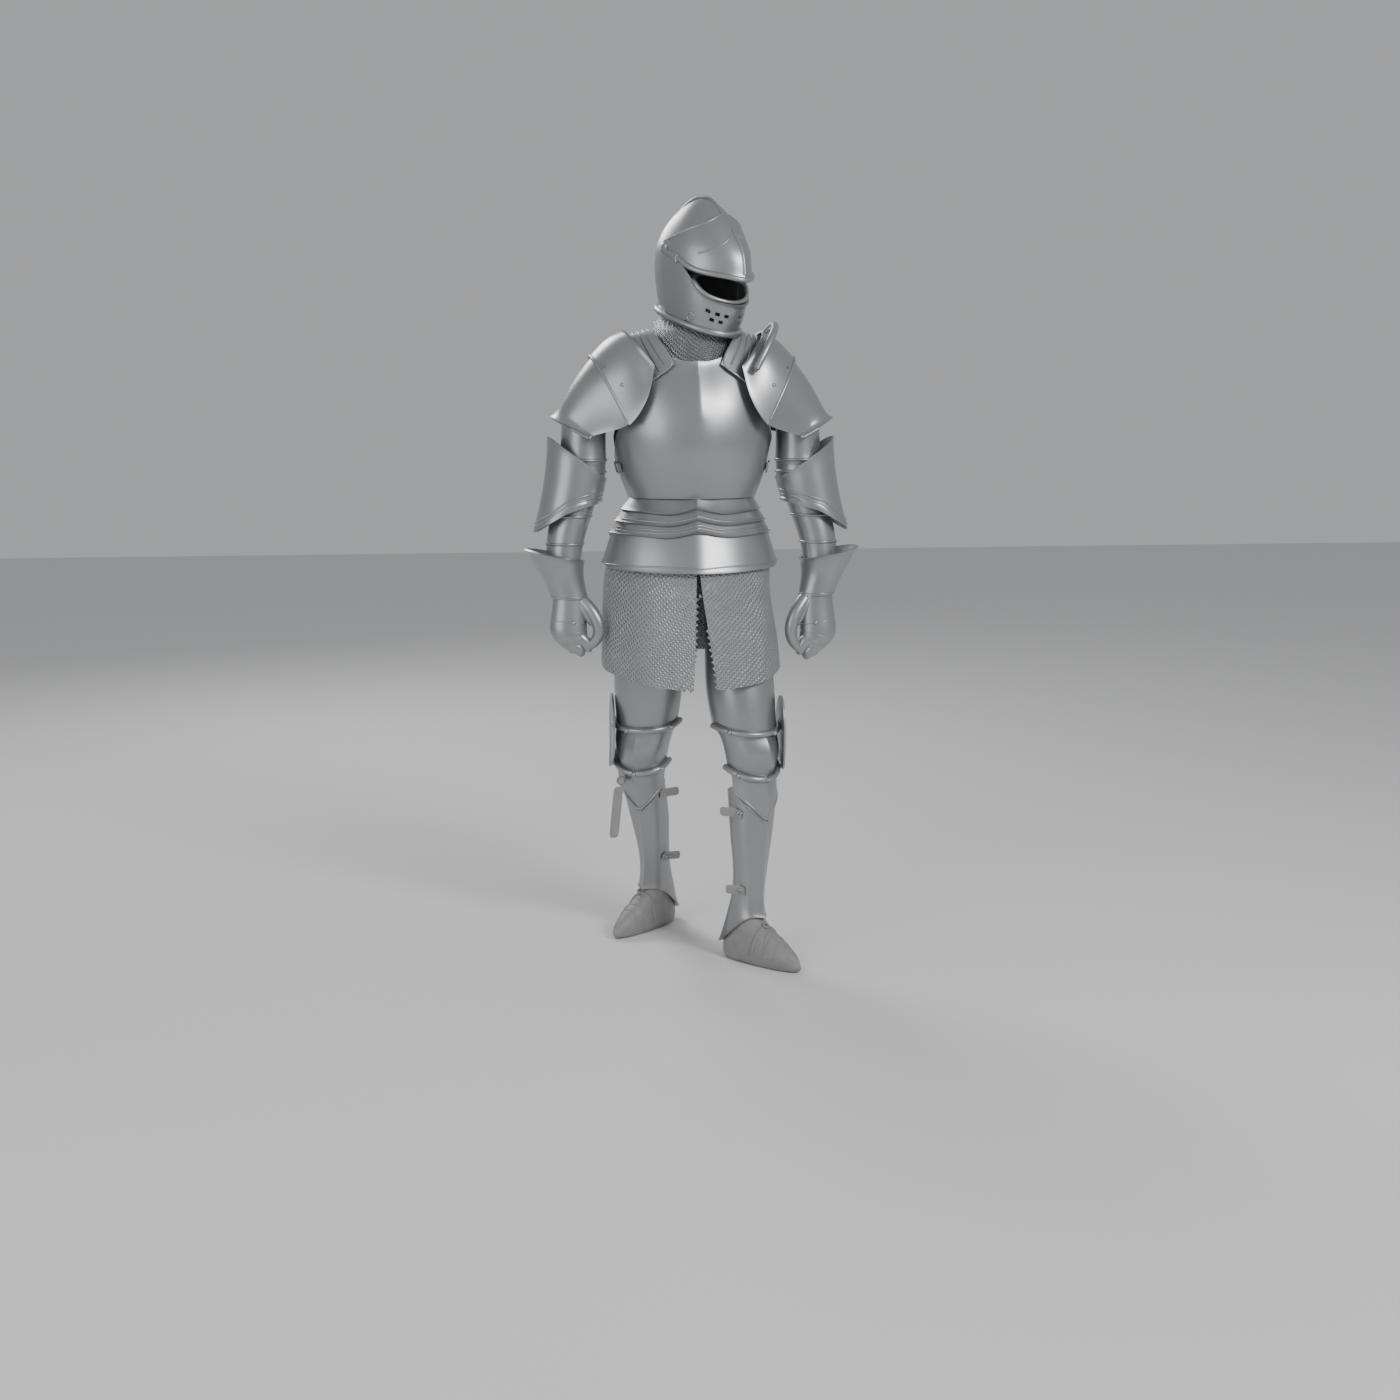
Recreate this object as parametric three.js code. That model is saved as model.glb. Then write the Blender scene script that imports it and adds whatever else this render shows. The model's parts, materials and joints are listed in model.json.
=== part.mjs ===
// A suit of plate armour, standing as it is worn: visored helmet, mail collar, cuirass with fauld
// and culet, mail skirt, pauldrons, arm harness, gauntlets, leg harness and leather shoes.
// Every plate is a thin hollow wall. Millimetres, +Z up, the front faces -Y and +X is the wearer's
// left. Heights are measured from the floor, and the whole suit is lowered at the end, so that the
// origin is inside the waist, where the wearer carries the weight.
import * as THREE from "three";

const WAIST_HEIGHT = 1143;
const STEEL = 2.0;
const MAIL = 3.0;
const LEATHER = 3.0;
const CLEAR = 0.6;
const LAYER = STEEL + CLEAR;
const ROLL = 4.0;
const STRAP_WIDTH = 18;

const BEVOR_OUT = LAYER + 0.65;
const VISOR_OUT = 2 * LAYER + 2.0;
const HEAD = { x: 25, y: -4, turn: 32 };
const VISOR_PIVOT = { z: 1735 };
const KNEE = {
  L: { x: 134, y: -76, z: 516, turn: 28 },
  R: { x: 120, y: 42, z: 512, turn: 22 },
};

const FINISH = {
  steel: { color: 0x8c8f94, roughness: 0.32, metalness: 1.0 },
  mail: { color: 0x7d8085, roughness: 0.45, metalness: 0.9 },
  leather: { color: 0x6a6461, roughness: 0.7, metalness: 0.0 },
};

const rad = THREE.MathUtils.degToRad;
const clamp = THREE.MathUtils.clamp;
const mix = THREE.MathUtils.lerp;
const ease = (t) => THREE.MathUtils.smoothstep(t, 0, 1);
const UP = new THREE.Vector3(0, 0, 1);

// Evenly spaced numbers, both ends included.
function spread(from, to, count) {
  return Array.from({ length: count }, (_, i) => mix(from, to, i / (count - 1)));
}

// Angles for a closed ring, the last one left out because it meets the first.
function ring(count) {
  return Array.from({ length: count }, (_, i) => (i / count) * 360);
}

// The value of one named column at a place, on a smooth curve through the table's rows.
function column(table, key, name, where) {
  const rows = table[0][key] < table.at(-1)[key] ? table : table.toReversed();
  const last = rows.length - 1;
  const x = clamp(where, rows[0][key], rows[last][key]);
  let k = 0;
  while (k < last - 1 && x > rows[k + 1][key]) k++;
  const slope = (i) => {
    const a = rows[Math.max(i - 1, 0)];
    const b = rows[Math.min(i + 1, last)];
    return (b[name] - a[name]) / (b[key] - a[key]);
  };
  const [p, q] = [rows[k], rows[k + 1]];
  const span = q[key] - p[key];
  const t = (x - p[key]) / span;
  const h = [2 * t ** 3 - 3 * t * t + 1, t ** 3 - 2 * t * t + t, 3 * t * t - 2 * t ** 3, t ** 3 - t * t];
  return h[0] * p[name] + h[1] * span * slope(k) + h[2] * q[name] + h[3] * span * slope(k + 1);
}

// Places along an edge to edge run of a plate, with closer ones where an end is rolled outwards.
// Each has its place from 0 to 1 and the lift of the outer face there.
function stops(count, length, { first = 0, last = 0 } = {}) {
  const head = first ? [[0, 1], [2, 0]] : [[0, 0]];
  const tail = last ? [[2, 0], [0, 1]] : [[0, 0]];
  const start = head.map(([d, h]) => ({ v: (d * first) / length, lift: h * first }));
  const end = tail.map(([d, h]) => ({ v: 1 - (d * last) / length, lift: h * last }));
  const middle = spread(start.at(-1).v, end[0].v, count + 1).slice(1, -1);
  return [...start, ...middle.map((v) => ({ v, lift: 0 })), ...end];
}

// A wall of the given thickness on a surface. us run round from the front to the wearer's left and
// vs run downwards. The outer face is lifted by lift(u, v), and the inner face stays plain. A cell whose
// middle has hole(u, v) is cut through. A pole closes the first or the last row in one point.
function wall({
  us, vs, at, lift = () => 0, thickness = STEEL, closed = false, pole = "", hole = () => false,
  mirror = false,
}) {
  const rows = vs.map((s) => (typeof s === "number" ? { v: s, lift: 0 } : s));
  const cols = us.map((s) => (typeof s === "number" ? { v: s, lift: 0 } : s));
  const [nu, nv] = [cols.length, rows.length];
  const base = rows.map((r) => cols.map((c) => at(c.v, r.v)));
  const normal = base.map((row) => row.map(() => new THREE.Vector3()));
  const cells = closed ? nu : nu - 1;
  const next = (i) => (i + 1) % nu;
  for (let j = 0; j < nv - 1; j++)
    for (let i = 0; i < cells; i++) {
      const across = base[j + 1][next(i)].clone().sub(base[j][i]);
      const down = base[j + 1][i].clone().sub(base[j][next(i)]);
      const face = down.cross(across);
      for (const [a, b] of [[j, i], [j, next(i)], [j + 1, i], [j + 1, next(i)]]) normal[a][b].add(face);
    }
  for (const [row, name] of [[0, "first"], [nv - 1, "last"]])
    if (pole === name) {
      const sum = normal[row].reduce((s, n) => s.add(n), new THREE.Vector3());
      normal[row].forEach((n) => n.copy(sum));
    }
  const points = [];
  const face = (offset) =>
    base.map((row, j) =>
      row.map((p, i) => {
        const n = normal[j][i].clone().normalize();
        const move = offset < 0 ? offset : Math.max(rows[j].lift, cols[i].lift) + lift(cols[i].v, rows[j].v);
        return points.push(p.clone().addScaledVector(n, move)) - 1;
      }),
    );
  const outer = face(1);
  const inner = face(-thickness);
  const index = [];
  const tri = (a, b, c) => index.push(a, b, c);
  const quad = (a, b, c, d) => {
    tri(a, b, c);
    tri(a, c, d);
  };
  const pitch = cols[1].v - cols[0].v;
  const middle = (i) => cols[i].v + (closed ? pitch : cols[next(i)].v - cols[i].v) / 2;
  const cut = (i, j) => hole(middle(i), (rows[j].v + rows[j + 1].v) / 2);
  const inRange = (i, j) => j >= 0 && j < nv - 1 && (closed || (i >= 0 && i < cells));
  const solid = (i, j) => inRange(i, j) && !cut((i + cells) % cells, j);
  for (let j = 0; j < nv - 1; j++)
    for (let i = 0; i < cells; i++) {
      if (!solid(i, j)) continue;
      const k = next(i);
      const [o, n] = [outer, inner];
      quad(o[j][i], o[j + 1][i], o[j + 1][k], o[j][k]);
      quad(n[j][i], n[j][k], n[j + 1][k], n[j + 1][i]);
      if (!solid(i, j - 1)) quad(o[j][i], o[j][k], n[j][k], n[j][i]);
      if (!solid(i, j + 1)) quad(o[j + 1][k], o[j + 1][i], n[j + 1][i], n[j + 1][k]);
      if (!solid(i - 1, j)) quad(o[j][i], n[j][i], n[j + 1][i], o[j + 1][i]);
      if (!solid(i + 1, j)) quad(o[j + 1][k], n[j + 1][k], n[j][k], o[j][k]);
    }
  return closedGeometry(points, index, pole, outer, inner, mirror);
}

// Indexed triangles as a geometry with shared vertices. A row closed to a pole shares one vertex on
// each face, and its flat triangles are dropped.
function closedGeometry(points, index, pole, outer, inner, mirror) {
  const same = new Map();
  for (const [row, name] of [[0, "first"], [outer.length - 1, "last"]])
    if (pole === name) for (const face of [outer, inner]) face[row].forEach((p) => same.set(p, face[row][0]));
  const kept = [];
  for (let t = 0; t < index.length; t += 3) {
    const corner = [0, 1, 2].map((k) => same.get(index[t + k]) ?? index[t + k]);
    const last = pole === "last" ? -1 : 0;
    const inPole = (p) => outer.at(last).includes(p) || inner.at(last).includes(p);
    const rim = pole && corner.every(inPole);
    if (new Set(corner).size === 3 && !rim) kept.push(...(mirror ? corner.toReversed() : corner));
  }
  const position = points.flatMap((p) => [mirror ? -p.x : p.x, p.y, p.z]);
  const g = new THREE.BufferGeometry();
  g.setAttribute("position", new THREE.Float32BufferAttribute(position, 3));
  g.setIndex(kept);
  return g;
}

// A named mesh in one of the suit's finishes.
function piece(name, geometry, finish = "steel") {
  const mesh = new THREE.Mesh(geometry, new THREE.MeshStandardMaterial(FINISH[finish]));
  mesh.name = name;
  return mesh;
}

// The whole row of a table at a height.
function rowAt(table, z) {
  const names = Object.keys(table[0]).filter((name) => name !== "z");
  return { z, ...Object.fromEntries(names.map((name) => [name, column(table, "z", name, z)])) };
}

// A point of an oval section. u is in degrees from the section's front towards the wearer's left.
function oval({ x = 0, y = 0, z, side, front, back = front, turn = 0 }, u, out = 0) {
  const depth = Math.cos(rad(u)) > 0 ? front : back;
  const p = new THREE.Vector3((side + out) * Math.sin(rad(u)), -(depth + out) * Math.cos(rad(u)), 0);
  return p.applyAxisAngle(UP, rad(turn)).add(new THREE.Vector3(x, y, z));
}

// A narrow ridge over the middle of the front.
const ridge = (u, height, width = 14) => height * Math.max(0, 1 - Math.abs(u) / width);

// The cuirass from the shoulders to the waist, as half width and depths.
const TORSO = [
  { z: 1500, side: 190, front: 74, back: 84 },
  { z: 1450, side: 200, front: 106, back: 104 },
  { z: 1370, side: 200, front: 138, back: 118 },
  { z: 1300, side: 196, front: 149, back: 122 },
  { z: 1257, side: 190, front: 147, back: 118 },
  { z: 1200, side: 176, front: 130, back: 104 },
  { z: 1142, side: 153, front: 103, back: 85 },
  { z: 1124, side: 155, front: 106, back: 87 },
];

// Half angle of the breastplate and backplate, wide below the armhole.
const ARMHOLE = [
  { z: 1500, half: 26 },
  { z: 1440, half: 31 },
  { z: 1370, half: 52 },
  { z: 1300, half: 72 },
  { z: 1250, half: 92 },
  { z: 1120, half: 94 },
];

function cuirassPlate({ name, middle, top, rise, out, below }) {
  const at = (f, v) => {
    const z = mix(top + rise * f * f, WAIST_HEIGHT + 1, v);
    return oval(rowAt(TORSO, z), middle + f * Math.min(column(ARMHOLE, "z", "half", z), below), out);
  };
  const us = stops(12, 400, { first: ROLL, last: ROLL }).map((s) => s.v * 2 - 1);
  const arm = (f, v) => (Math.abs(f) > 0.99 && v < 0.55 ? ROLL : 0);
  const lift = (f, v) => arm(f, v) + (middle ? 0 : ridge(f * 80, 5 * (1 - v * 0.5)));
  return piece(name, wall({ us, vs: stops(7, 340, { first: ROLL }), at, lift }));
}

// The side straps cross from the breastplate to the backplate below each armhole.
function sideStrap(name, side) {
  const at = (f, v) => oval(
    rowAt(TORSO, 1226 - v * STRAP_WIDTH), side * mix(74, 118, f), LAYER + LEATHER + 1,
  );
  const us = side > 0 ? spread(0, 1, 5) : spread(1, 0, 5);
  return piece(name, wall({ us, vs: [0, 1], at, thickness: LEATHER }), "leather");
}

// The lames below the waist and the mail skirt hang on one flaring shape.
const HIPS = [
  { z: 1150, x: 0, side: 149.5, front: 97, back: 82 },
  { z: 1139, x: -1, side: 152, front: 101.5, back: 84.5 },
  { z: 1117, x: -5, side: 167, front: 119, back: 98 },
  { z: 1090, x: -6, side: 180, front: 131, back: 111 },
  { z: 1064, x: -7, side: 193, front: 142, back: 124 },
  { z: 1000, x: -7, side: 211, front: 163, back: 144 },
  { z: 970, x: -7, side: 214, front: 169, back: 149 },
  { z: 900, x: -7, side: 218, front: 176, back: 152 },
  { z: 800, x: -4, side: 223, front: 181, back: 153 },
  { z: 680, x: -2, side: 226, front: 184, back: 152 },
];

// Each lame's top edge lies under the one above, and its lower edge stands out over the next.
const FAULD = [
  { name: "fauld_lame_1", top: 1148, bottom: 1116, lap: 3.9 },
  { name: "fauld_lame_2", top: 1124, bottom: 1089, lap: 4.7 },
  { name: "fauld_lame_3", top: 1098, bottom: 1061, lap: 3.5 },
  { name: "fauld_lame_4", top: 1071, bottom: 974, lap: 3.3 },
];
const CULET = [
  { name: "culet_lame_1", top: 1148, bottom: 1098, lap: 3.6 },
  { name: "culet_lame_2", top: 1108, bottom: 1054, lap: 3.8 },
  { name: "culet_lame_3", top: 1065, bottom: 992, lap: 3.3 },
];

function lame({ name, top, bottom, lap, overlap, middle, half, out, dip = 0, rows, corner = 0 }) {
  const tilt = lap / (1 - overlap / (top - bottom));
  const at = (f, v) => {
    const low = bottom + corner * f ** 6 + dip * Math.sin(Math.min(Math.abs(f) * 2, 1) * Math.PI);
    const z = mix(top, low, v);
    return oval(rowAt(HIPS, z), middle + f * half, out + tilt * v);
  };
  const lift = (f, v) => (middle ? 0 : ridge(f * half, 5 * ease((v - 0.3) / 0.5)));
  return piece(name, wall({ us: spread(-1, 1, 17), vs: stops(rows, top - bottom, { last: 2.4 }), at, lift }));
}

const SKIRT = { top: 1066, hem: 692, sideHem: 746, slitTop: 975, slitHalf: 7.4, slitMiddle: 2.8, folds: 10 };

function mailSkirt() {
  const at = (f, v) => {
    const hem = mix(SKIRT.hem, SKIRT.sideHem, ease(Math.sin(Math.PI * f)));
    const z = mix(SKIRT.top, hem, v);
    const open = clamp((SKIRT.slitTop - z) / (SKIRT.slitTop - SKIRT.hem), 0, 1);
    const u = mix(0.6, SKIRT.slitHalf, open) + SKIRT.slitMiddle * open;
    const end = 360 - mix(0.6, SKIRT.slitHalf, open) + SKIRT.slitMiddle * open;
    const fold = 3 * ease((970 - z) / 260) * (1 + Math.cos(2 * Math.PI * SKIRT.folds * f));
    const thigh = 8 * Math.exp(-(((mix(u, end, f) - 48) / 26) ** 2)) * ease((920 - z) / 120);
    const near = Math.exp(-(((mix(u, end, f) - 95) / 34) ** 2));
    const tuck = 20 * near * ease((962 - z) / 26) * (1 - 0.7 * ease((940 - z) / 200));
    const out = fold + thigh - tuck - LAYER - 0.2 - 3.5 * ease((z - 965) / 20);
    return oval(rowAt(HIPS, z), mix(u, end, f), out);
  };
  return piece(
    "mail_skirt", wall({ us: spread(0, 1, 41), vs: spread(0, 1, 6), at, thickness: MAIL }), "mail",
  );
}

// The collar hangs in the helmet's neck and spreads over the top of the chest.
const COLLAR = [
  { z: 1600, side: 68, front: 84, back: 92, turn: 32 },
  { z: 1568, side: 68, front: 78, back: 94, turn: 30 },
  { z: 1545, side: 96, front: 84, back: 104, turn: 20 },
  { z: 1510, side: 103, front: 92, back: 84, turn: 4 },
  { z: 1484, side: 103, front: 92, back: 78, turn: 0 },
  { z: 1455, side: 101, front: 101.6, back: 84, turn: 0 },
];

const COLLAR_ROWS = [1598, 1568, 1548, 1510, 1458];

function mailCollar() {
  const at = (u, v) => {
    const z = COLLAR_ROWS[v];
    const p = oval({ x: mix(HEAD.x, 0, ease((1575 - z) / 30)), y: 0, ...rowAt(COLLAR, z) }, u);
    p.z -= 30 * Math.cos(rad(u)) * clamp((z - 1458) / 100, 0, 1);
    return p;
  };
  return piece(
    "mail_collar",
    wall({ us: ring(24), vs: [...COLLAR_ROWS.keys()], at, thickness: MAIL, closed: true }), "mail",
  );
}

// Helmet sizes about its own middle, before it is turned.
const HELMET = [
  { z: 1851, side: 2, front: 3, back: 3 },
  { z: 1847, side: 13, front: 18, back: 20 },
  { z: 1838, side: 30, front: 40, back: 46 },
  { z: 1820, side: 49, front: 64, back: 78 },
  { z: 1792, side: 70, front: 90, back: 112 },
  { z: 1755, side: 86, front: 112, back: 136 },
  { z: 1719, side: 93, front: 126, back: 146 },
  { z: 1683, side: 94, front: 131, back: 147 },
  { z: 1640, side: 90, front: 130, back: 140 },
  { z: 1604, side: 86, front: 124, back: 130 },
  { z: 1560, side: 80, front: 106, back: 124 },
  { z: 1512, side: 68, front: 86, back: 120 },
];
const NECK_RIM = { middle: 1560, slope: 43 };
const BROW = 1750;
const FACE_HALF = 72;

const VISOR_EDGE = [
  { u: 0, top: 1811, low: 1650 },
  { u: 20, top: 1803, low: 1657 },
  { u: 40, top: 1785, low: 1664 },
  { u: 56, top: 1770, low: 1672 },
  { u: 68, top: 1761, low: 1685 },
  { u: 80, top: 1753, low: 1706 },
  { u: 100, top: 1748, low: 1722 },
];
const BEVOR_EDGE = [
  { u: 0, top: 1596 },
  { u: 20, top: 1599 },
  { u: 42, top: 1611 },
  { u: 55, top: 1634 },
  { u: 68, top: 1672 },
  { u: 80, top: 1706 },
  { u: 100, top: 1712 },
];

function helmetPoint(z, u, out) {
  return oval(rowAt(HELMET, z), u, out);
}

function turned(p) {
  return p.applyAxisAngle(UP, rad(HEAD.turn)).add(new THREE.Vector3(HEAD.x, HEAD.y, 0));
}

function helmetSkull() {
  const rim = (u) => NECK_RIM.middle - NECK_RIM.slope * Math.cos(rad(u));
  const heights = [1851, 1847, 1838, 1820, 1792, BROW, 1725, 1670, 1615];
  const at = (u, v) => {
    const k = Math.min(Math.floor(v), heights.length - 1);
    const below = v - heights.length + 1;
    const z = below > 0 ? mix(1615, rim(u), below) : mix(heights[k], heights[k + 1] ?? 0, v - k);
    return turned(helmetPoint(z, u, 0));
  };
  const last = heights.length;
  const vs = [...heights.keys(), last - 0.25, { v: last, lift: ROLL + 2 }];
  const comb = (u, v) => {
    const front = ridge(u > 180 ? u - 360 : u, 6) * (1 - ease(v - 2));
    return Math.max(front, ridge(u - 180, 9) * (1 - ease((v - 5) / 4))) * ease(v);
  };
  const hole = (u, v) => v > 5 && (u < FACE_HALF || u > 360 - FACE_HALF);
  const us = ring(24);
  return piece("helmet_skull", wall({ us, vs, at, lift: comb, closed: true, pole: "first", hole }));
}

function facePlate({ name, out, edges, low, us, vs, lift, hole }) {
  const at = (u, v) => {
    const a = Math.abs(u);
    const z = mix(column(edges, "u", "top", a), low(a), v);
    return turned(helmetPoint(z, u, out));
  };
  return piece(name, wall({ us: [...us.map((u) => -u).reverse(), 0, ...us], vs, at, lift, hole }));
}

function visor() {
  const low = (a) => column(VISOR_EDGE, "u", "low", a);
  const keel = (u, v) => ridge(u, 15 * ease((v - 0.2) * 1.8), 30);
  return facePlate({
    name: "helmet_visor", out: VISOR_OUT, edges: VISOR_EDGE, low, us: [12, 25, 38, 51, 63, 75, 90, 105],
    vs: stops(6, 110, { last: ROLL }), lift: keel,
  });
}

function bevor() {
  const low = (a) => NECK_RIM.middle - NECK_RIM.slope * Math.cos(rad(a)) + 16;
  const chin = (u, v) => ridge(u, 9 * (1 - v), 34);
  const vs = [0, 0.09, 0.24, 0.36, 0.48, 0.6, 0.72, 1];
  const roll = (u, v) => (v < 0.01 ? ROLL * (1 - ease((Math.abs(u) - 46) / 14)) : 0);
  const us = [10, 17, 24, 31, 38, 45, 52, 63, 75, 90, 105];
  const breath = (u, v) => {
    const a = Math.abs(u);
    const row = vs.findLastIndex((s) => s < v);
    const col = us.findLastIndex((s) => s < a);
    return (row === 3 && col >= 0 && col <= 5 && col % 2 === 0) || (row === 5 && (col === 1 || col === 3));
  };
  return facePlate({
    name: "helmet_bevor", out: BEVOR_OUT, edges: BEVOR_EDGE, low, us, vs,
    lift: (u, v) => chin(u, v) + roll(u, v), hole: breath,
  });
}

// A low domed rivet over the plates at each temple.
function templePivot(name, side) {
  const dome = [[0, 0], [11, 0], [11, 2], [7, 5], [0, 6]].map(([r, h]) => new THREE.Vector2(r, h));
  const g = new THREE.LatheGeometry(dome, 12);
  g.rotateZ(side > 0 ? -Math.PI / 2 : Math.PI / 2);
  const p = oval(rowAt(HELMET, VISOR_PIVOT.z), side * 98, VISOR_OUT + 1.4);
  g.translate(p.x, p.y, p.z);
  g.rotateZ(rad(HEAD.turn));
  g.translate(HEAD.x, HEAD.y, 0);
  return piece(name, g);
}

// The yoke lies over the top of the shoulder, from the breastplate to the backplate. f runs from the
// neck to the shoulder and a from the front over the top to the back, both in degrees or fractions.
function yokePoint(f, a) {
  const rise = Math.sin(rad(clamp(a, 0, 180)));
  const x = mix(mix(54, 112, rise), 186, f);
  const foot = 1460 - 90 * f;
  const z = foot + (mix(1546, 1526, f) - foot) * rise ** 0.8;
  const under = rowAt(TORSO, clamp(z, 1370, 1476));
  const depth = a < 90 ? under.front + 2 * LAYER + 5.4 : under.back + LAYER + 6.5;
  return new THREE.Vector3(x, -depth * Math.sqrt(1 - (x / 207) ** 2) * Math.cos(rad(a)), z);
}

function shoulderYoke(name, side) {
  const at = (f, v) => yokePoint(1 - f, mix(-6, 186, v));
  return piece(name, wall({ us: spread(1, 0, 7), vs: spread(0, 1, 8), at, mirror: side < 0 }));
}

// The pauldron is a fan of arches. Each arch springs from a foot in front, crosses the shoulder at
// its crown and comes down to a foot behind.
const ARCH = [
  { z: 0, crownX: 168, crownZ: 1540, footX: 97, footZ: 1446, front: 116, back: 112 },
  { z: 1, crownX: 204, crownZ: 1524, footX: 112, footZ: 1366, front: 132, back: 126 },
  { z: 2, crownX: 242, crownZ: 1487, footX: 150, footZ: 1303, front: 127, back: 124 },
  { z: 3, crownX: 290, crownZ: 1424, footX: 196, footZ: 1292, front: 102, back: 100 },
  { z: 4, crownX: 325, crownZ: 1362, footX: 232, footZ: 1288, front: 84, back: 84 },
  { z: 5, crownX: 339, crownZ: 1330, footX: 246, footZ: 1282, front: 80, back: 80 },
];

function archPoint(k, a, out = 0) {
  const arch = rowAt(ARCH, k);
  const rise = Math.sin(rad(a)) ** 0.85;
  const run = Math.sign(Math.cos(rad(a))) * Math.abs(Math.cos(rad(a))) ** 0.85;
  const depth = (a < 90 ? arch.front : arch.back) + out;
  const tilt = out * 0.7 * rise;
  const x = mix(arch.footX, arch.crownX, rise) + tilt;
  return new THREE.Vector3(x, -depth * run, mix(arch.footZ, arch.crownZ, rise) + tilt);
}

function pauldronMain(name, side) {
  const at = (f, v) => archPoint(mix(2.1, 0, f), mix(4, 176, v), LAYER * (1 + 0.4 * (1 - f)));
  const us = stops(5, 190, { last: 5 });
  const g = wall({ us, vs: stops(8, 420, { first: ROLL, last: ROLL }), at, mirror: side < 0 });
  return piece(name, g);
}

function pauldronLower(name, side) {
  const at = (f, v) => archPoint(mix(5, 1.9, f), mix(4, 176, v), 9 * ease((0.25 - f) / 0.25));
  const us = stops(5, 190, { first: 5 });
  const edge = (f, v) => (Math.abs(v - 0.5) > 0.49 && f < 0.8 ? ROLL : 0);
  const g = wall({
    us, vs: stops(8, 420, { first: ROLL, last: ROLL }).map((s) => s.v), at, lift: edge, mirror: side < 0,
  });
  return piece(name, g);
}

// The haute-piece stands on the left pauldron beside the neck.
const HAUTE = { height: 30, from: 14, to: 112 };

function hautePiece(name) {
  const at = (f, v) => {
    const base = archPoint(0.62, mix(HAUTE.from, HAUTE.to, f), LAYER + 1.9);
    const h = (1 - v) * HAUTE.height * Math.sin(Math.PI * mix(0.12, 0.88, f)) ** 0.6;
    const side = Math.cos(rad(mix(HAUTE.from, HAUTE.to, f)));
    return base.add(new THREE.Vector3(0.1 * h, -0.75 * h * side, 0.8 * h));
  };
  return piece(name, wall({ us: spread(0, 1, 11), vs: stops(1, 40, { first: 6 }), at, thickness: 3 }));
}

// The arms hang a little out from the body, and are alike on both sides.
const UPPER_ARM = [
  { z: 1345, x: 262, y: 6, side: 54, front: 56 },
  { z: 1280, x: 264, y: 6, side: 57, front: 57 },
  { z: 1230, x: 266, y: 6, side: 56, front: 56 },
  { z: 1186, x: 270, y: 5, side: 56, front: 55 },
  { z: 1150, x: 281, y: 2, side: 54, front: 53 },
];
const FOREARM = [
  { z: 1164, x: 277, y: 3, side: 50.5, front: 49.7 },
  { z: 1150, x: 281, y: 2, side: 50.5, front: 49.7 },
  { z: 1110, x: 293, y: -4, side: 51, front: 50 },
  { z: 1075, x: 305, y: -9, side: 49, front: 49 },
  { z: 1040, x: 314, y: -15, side: 47, front: 47 },
  { z: 1000, x: 318, y: -21, side: 43, front: 43 },
  { z: 948, x: 314, y: -31, side: 39, front: 37 },
];
const ELBOW = [
  { z: 1292, x: 281, y: 3, side: 70, front: 72 },
  { z: 1186, x: 285, y: 2, side: 75.7, front: 76.7 },
  { z: 1125, x: 301, y: -3, side: 74, front: 72 },
  { z: 1062, x: 323, y: -6, side: 64, front: 68 },
];
const CUFF = [
  { z: 1030, x: 342, y: -24, side: 72, front: 74 },
  { z: 1010, x: 336, y: -24, side: 70, front: 70 },
  { z: 990, x: 330, y: -24, side: 63, front: 62 },
  { z: 960, x: 325, y: -28, side: 56, front: 50 },
  { z: 935, x: 314, y: -33, side: 48, front: 42 },
  { z: 902, x: 304.5, y: -39, side: 45.5, front: 36 },
];
const REACH = { left: 1.13, right: 1 };
const HAND = [
  { z: 912, x: 305, y: -38, side: 40.9, front: 31.4, back: 30.4 },
  { z: 890, x: 304, y: -40, side: 41, front: 31, back: 29 },
  { z: 860, x: 307, y: -44, side: 45, front: 30, back: 28 },
  { z: 826, x: 311, y: -47, side: 47, front: 32, back: 28 },
  { z: 806, x: 306, y: -46, side: 45, front: 34, back: 29 },
  { z: 786, x: 294, y: -38, side: 35, front: 33, back: 28 },
  { z: 768, x: 287, y: -26, side: 20, front: 22, back: 20 },
  { z: 762, x: 286, y: -22, side: 8, front: 9, back: 9 },
];

function tube({
  name, table, top, bottom, rows, steps, count = 16, first = 0, last = 0, lift, pole = "", mirror,
  stretch = 1,
}) {
  const at = (u, v) => {
    const p = oval(rowAt(table, mix(top(u), bottom(u), v)), u);
    return p.setZ(mix(top(0), p.z, stretch));
  };
  const length = top(0) - bottom(0);
  const vs = steps ?? stops(rows, length, { first, last });
  return piece(name, wall({ us: ring(count), vs, at, lift, closed: true, pole, mirror }));
}

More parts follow.
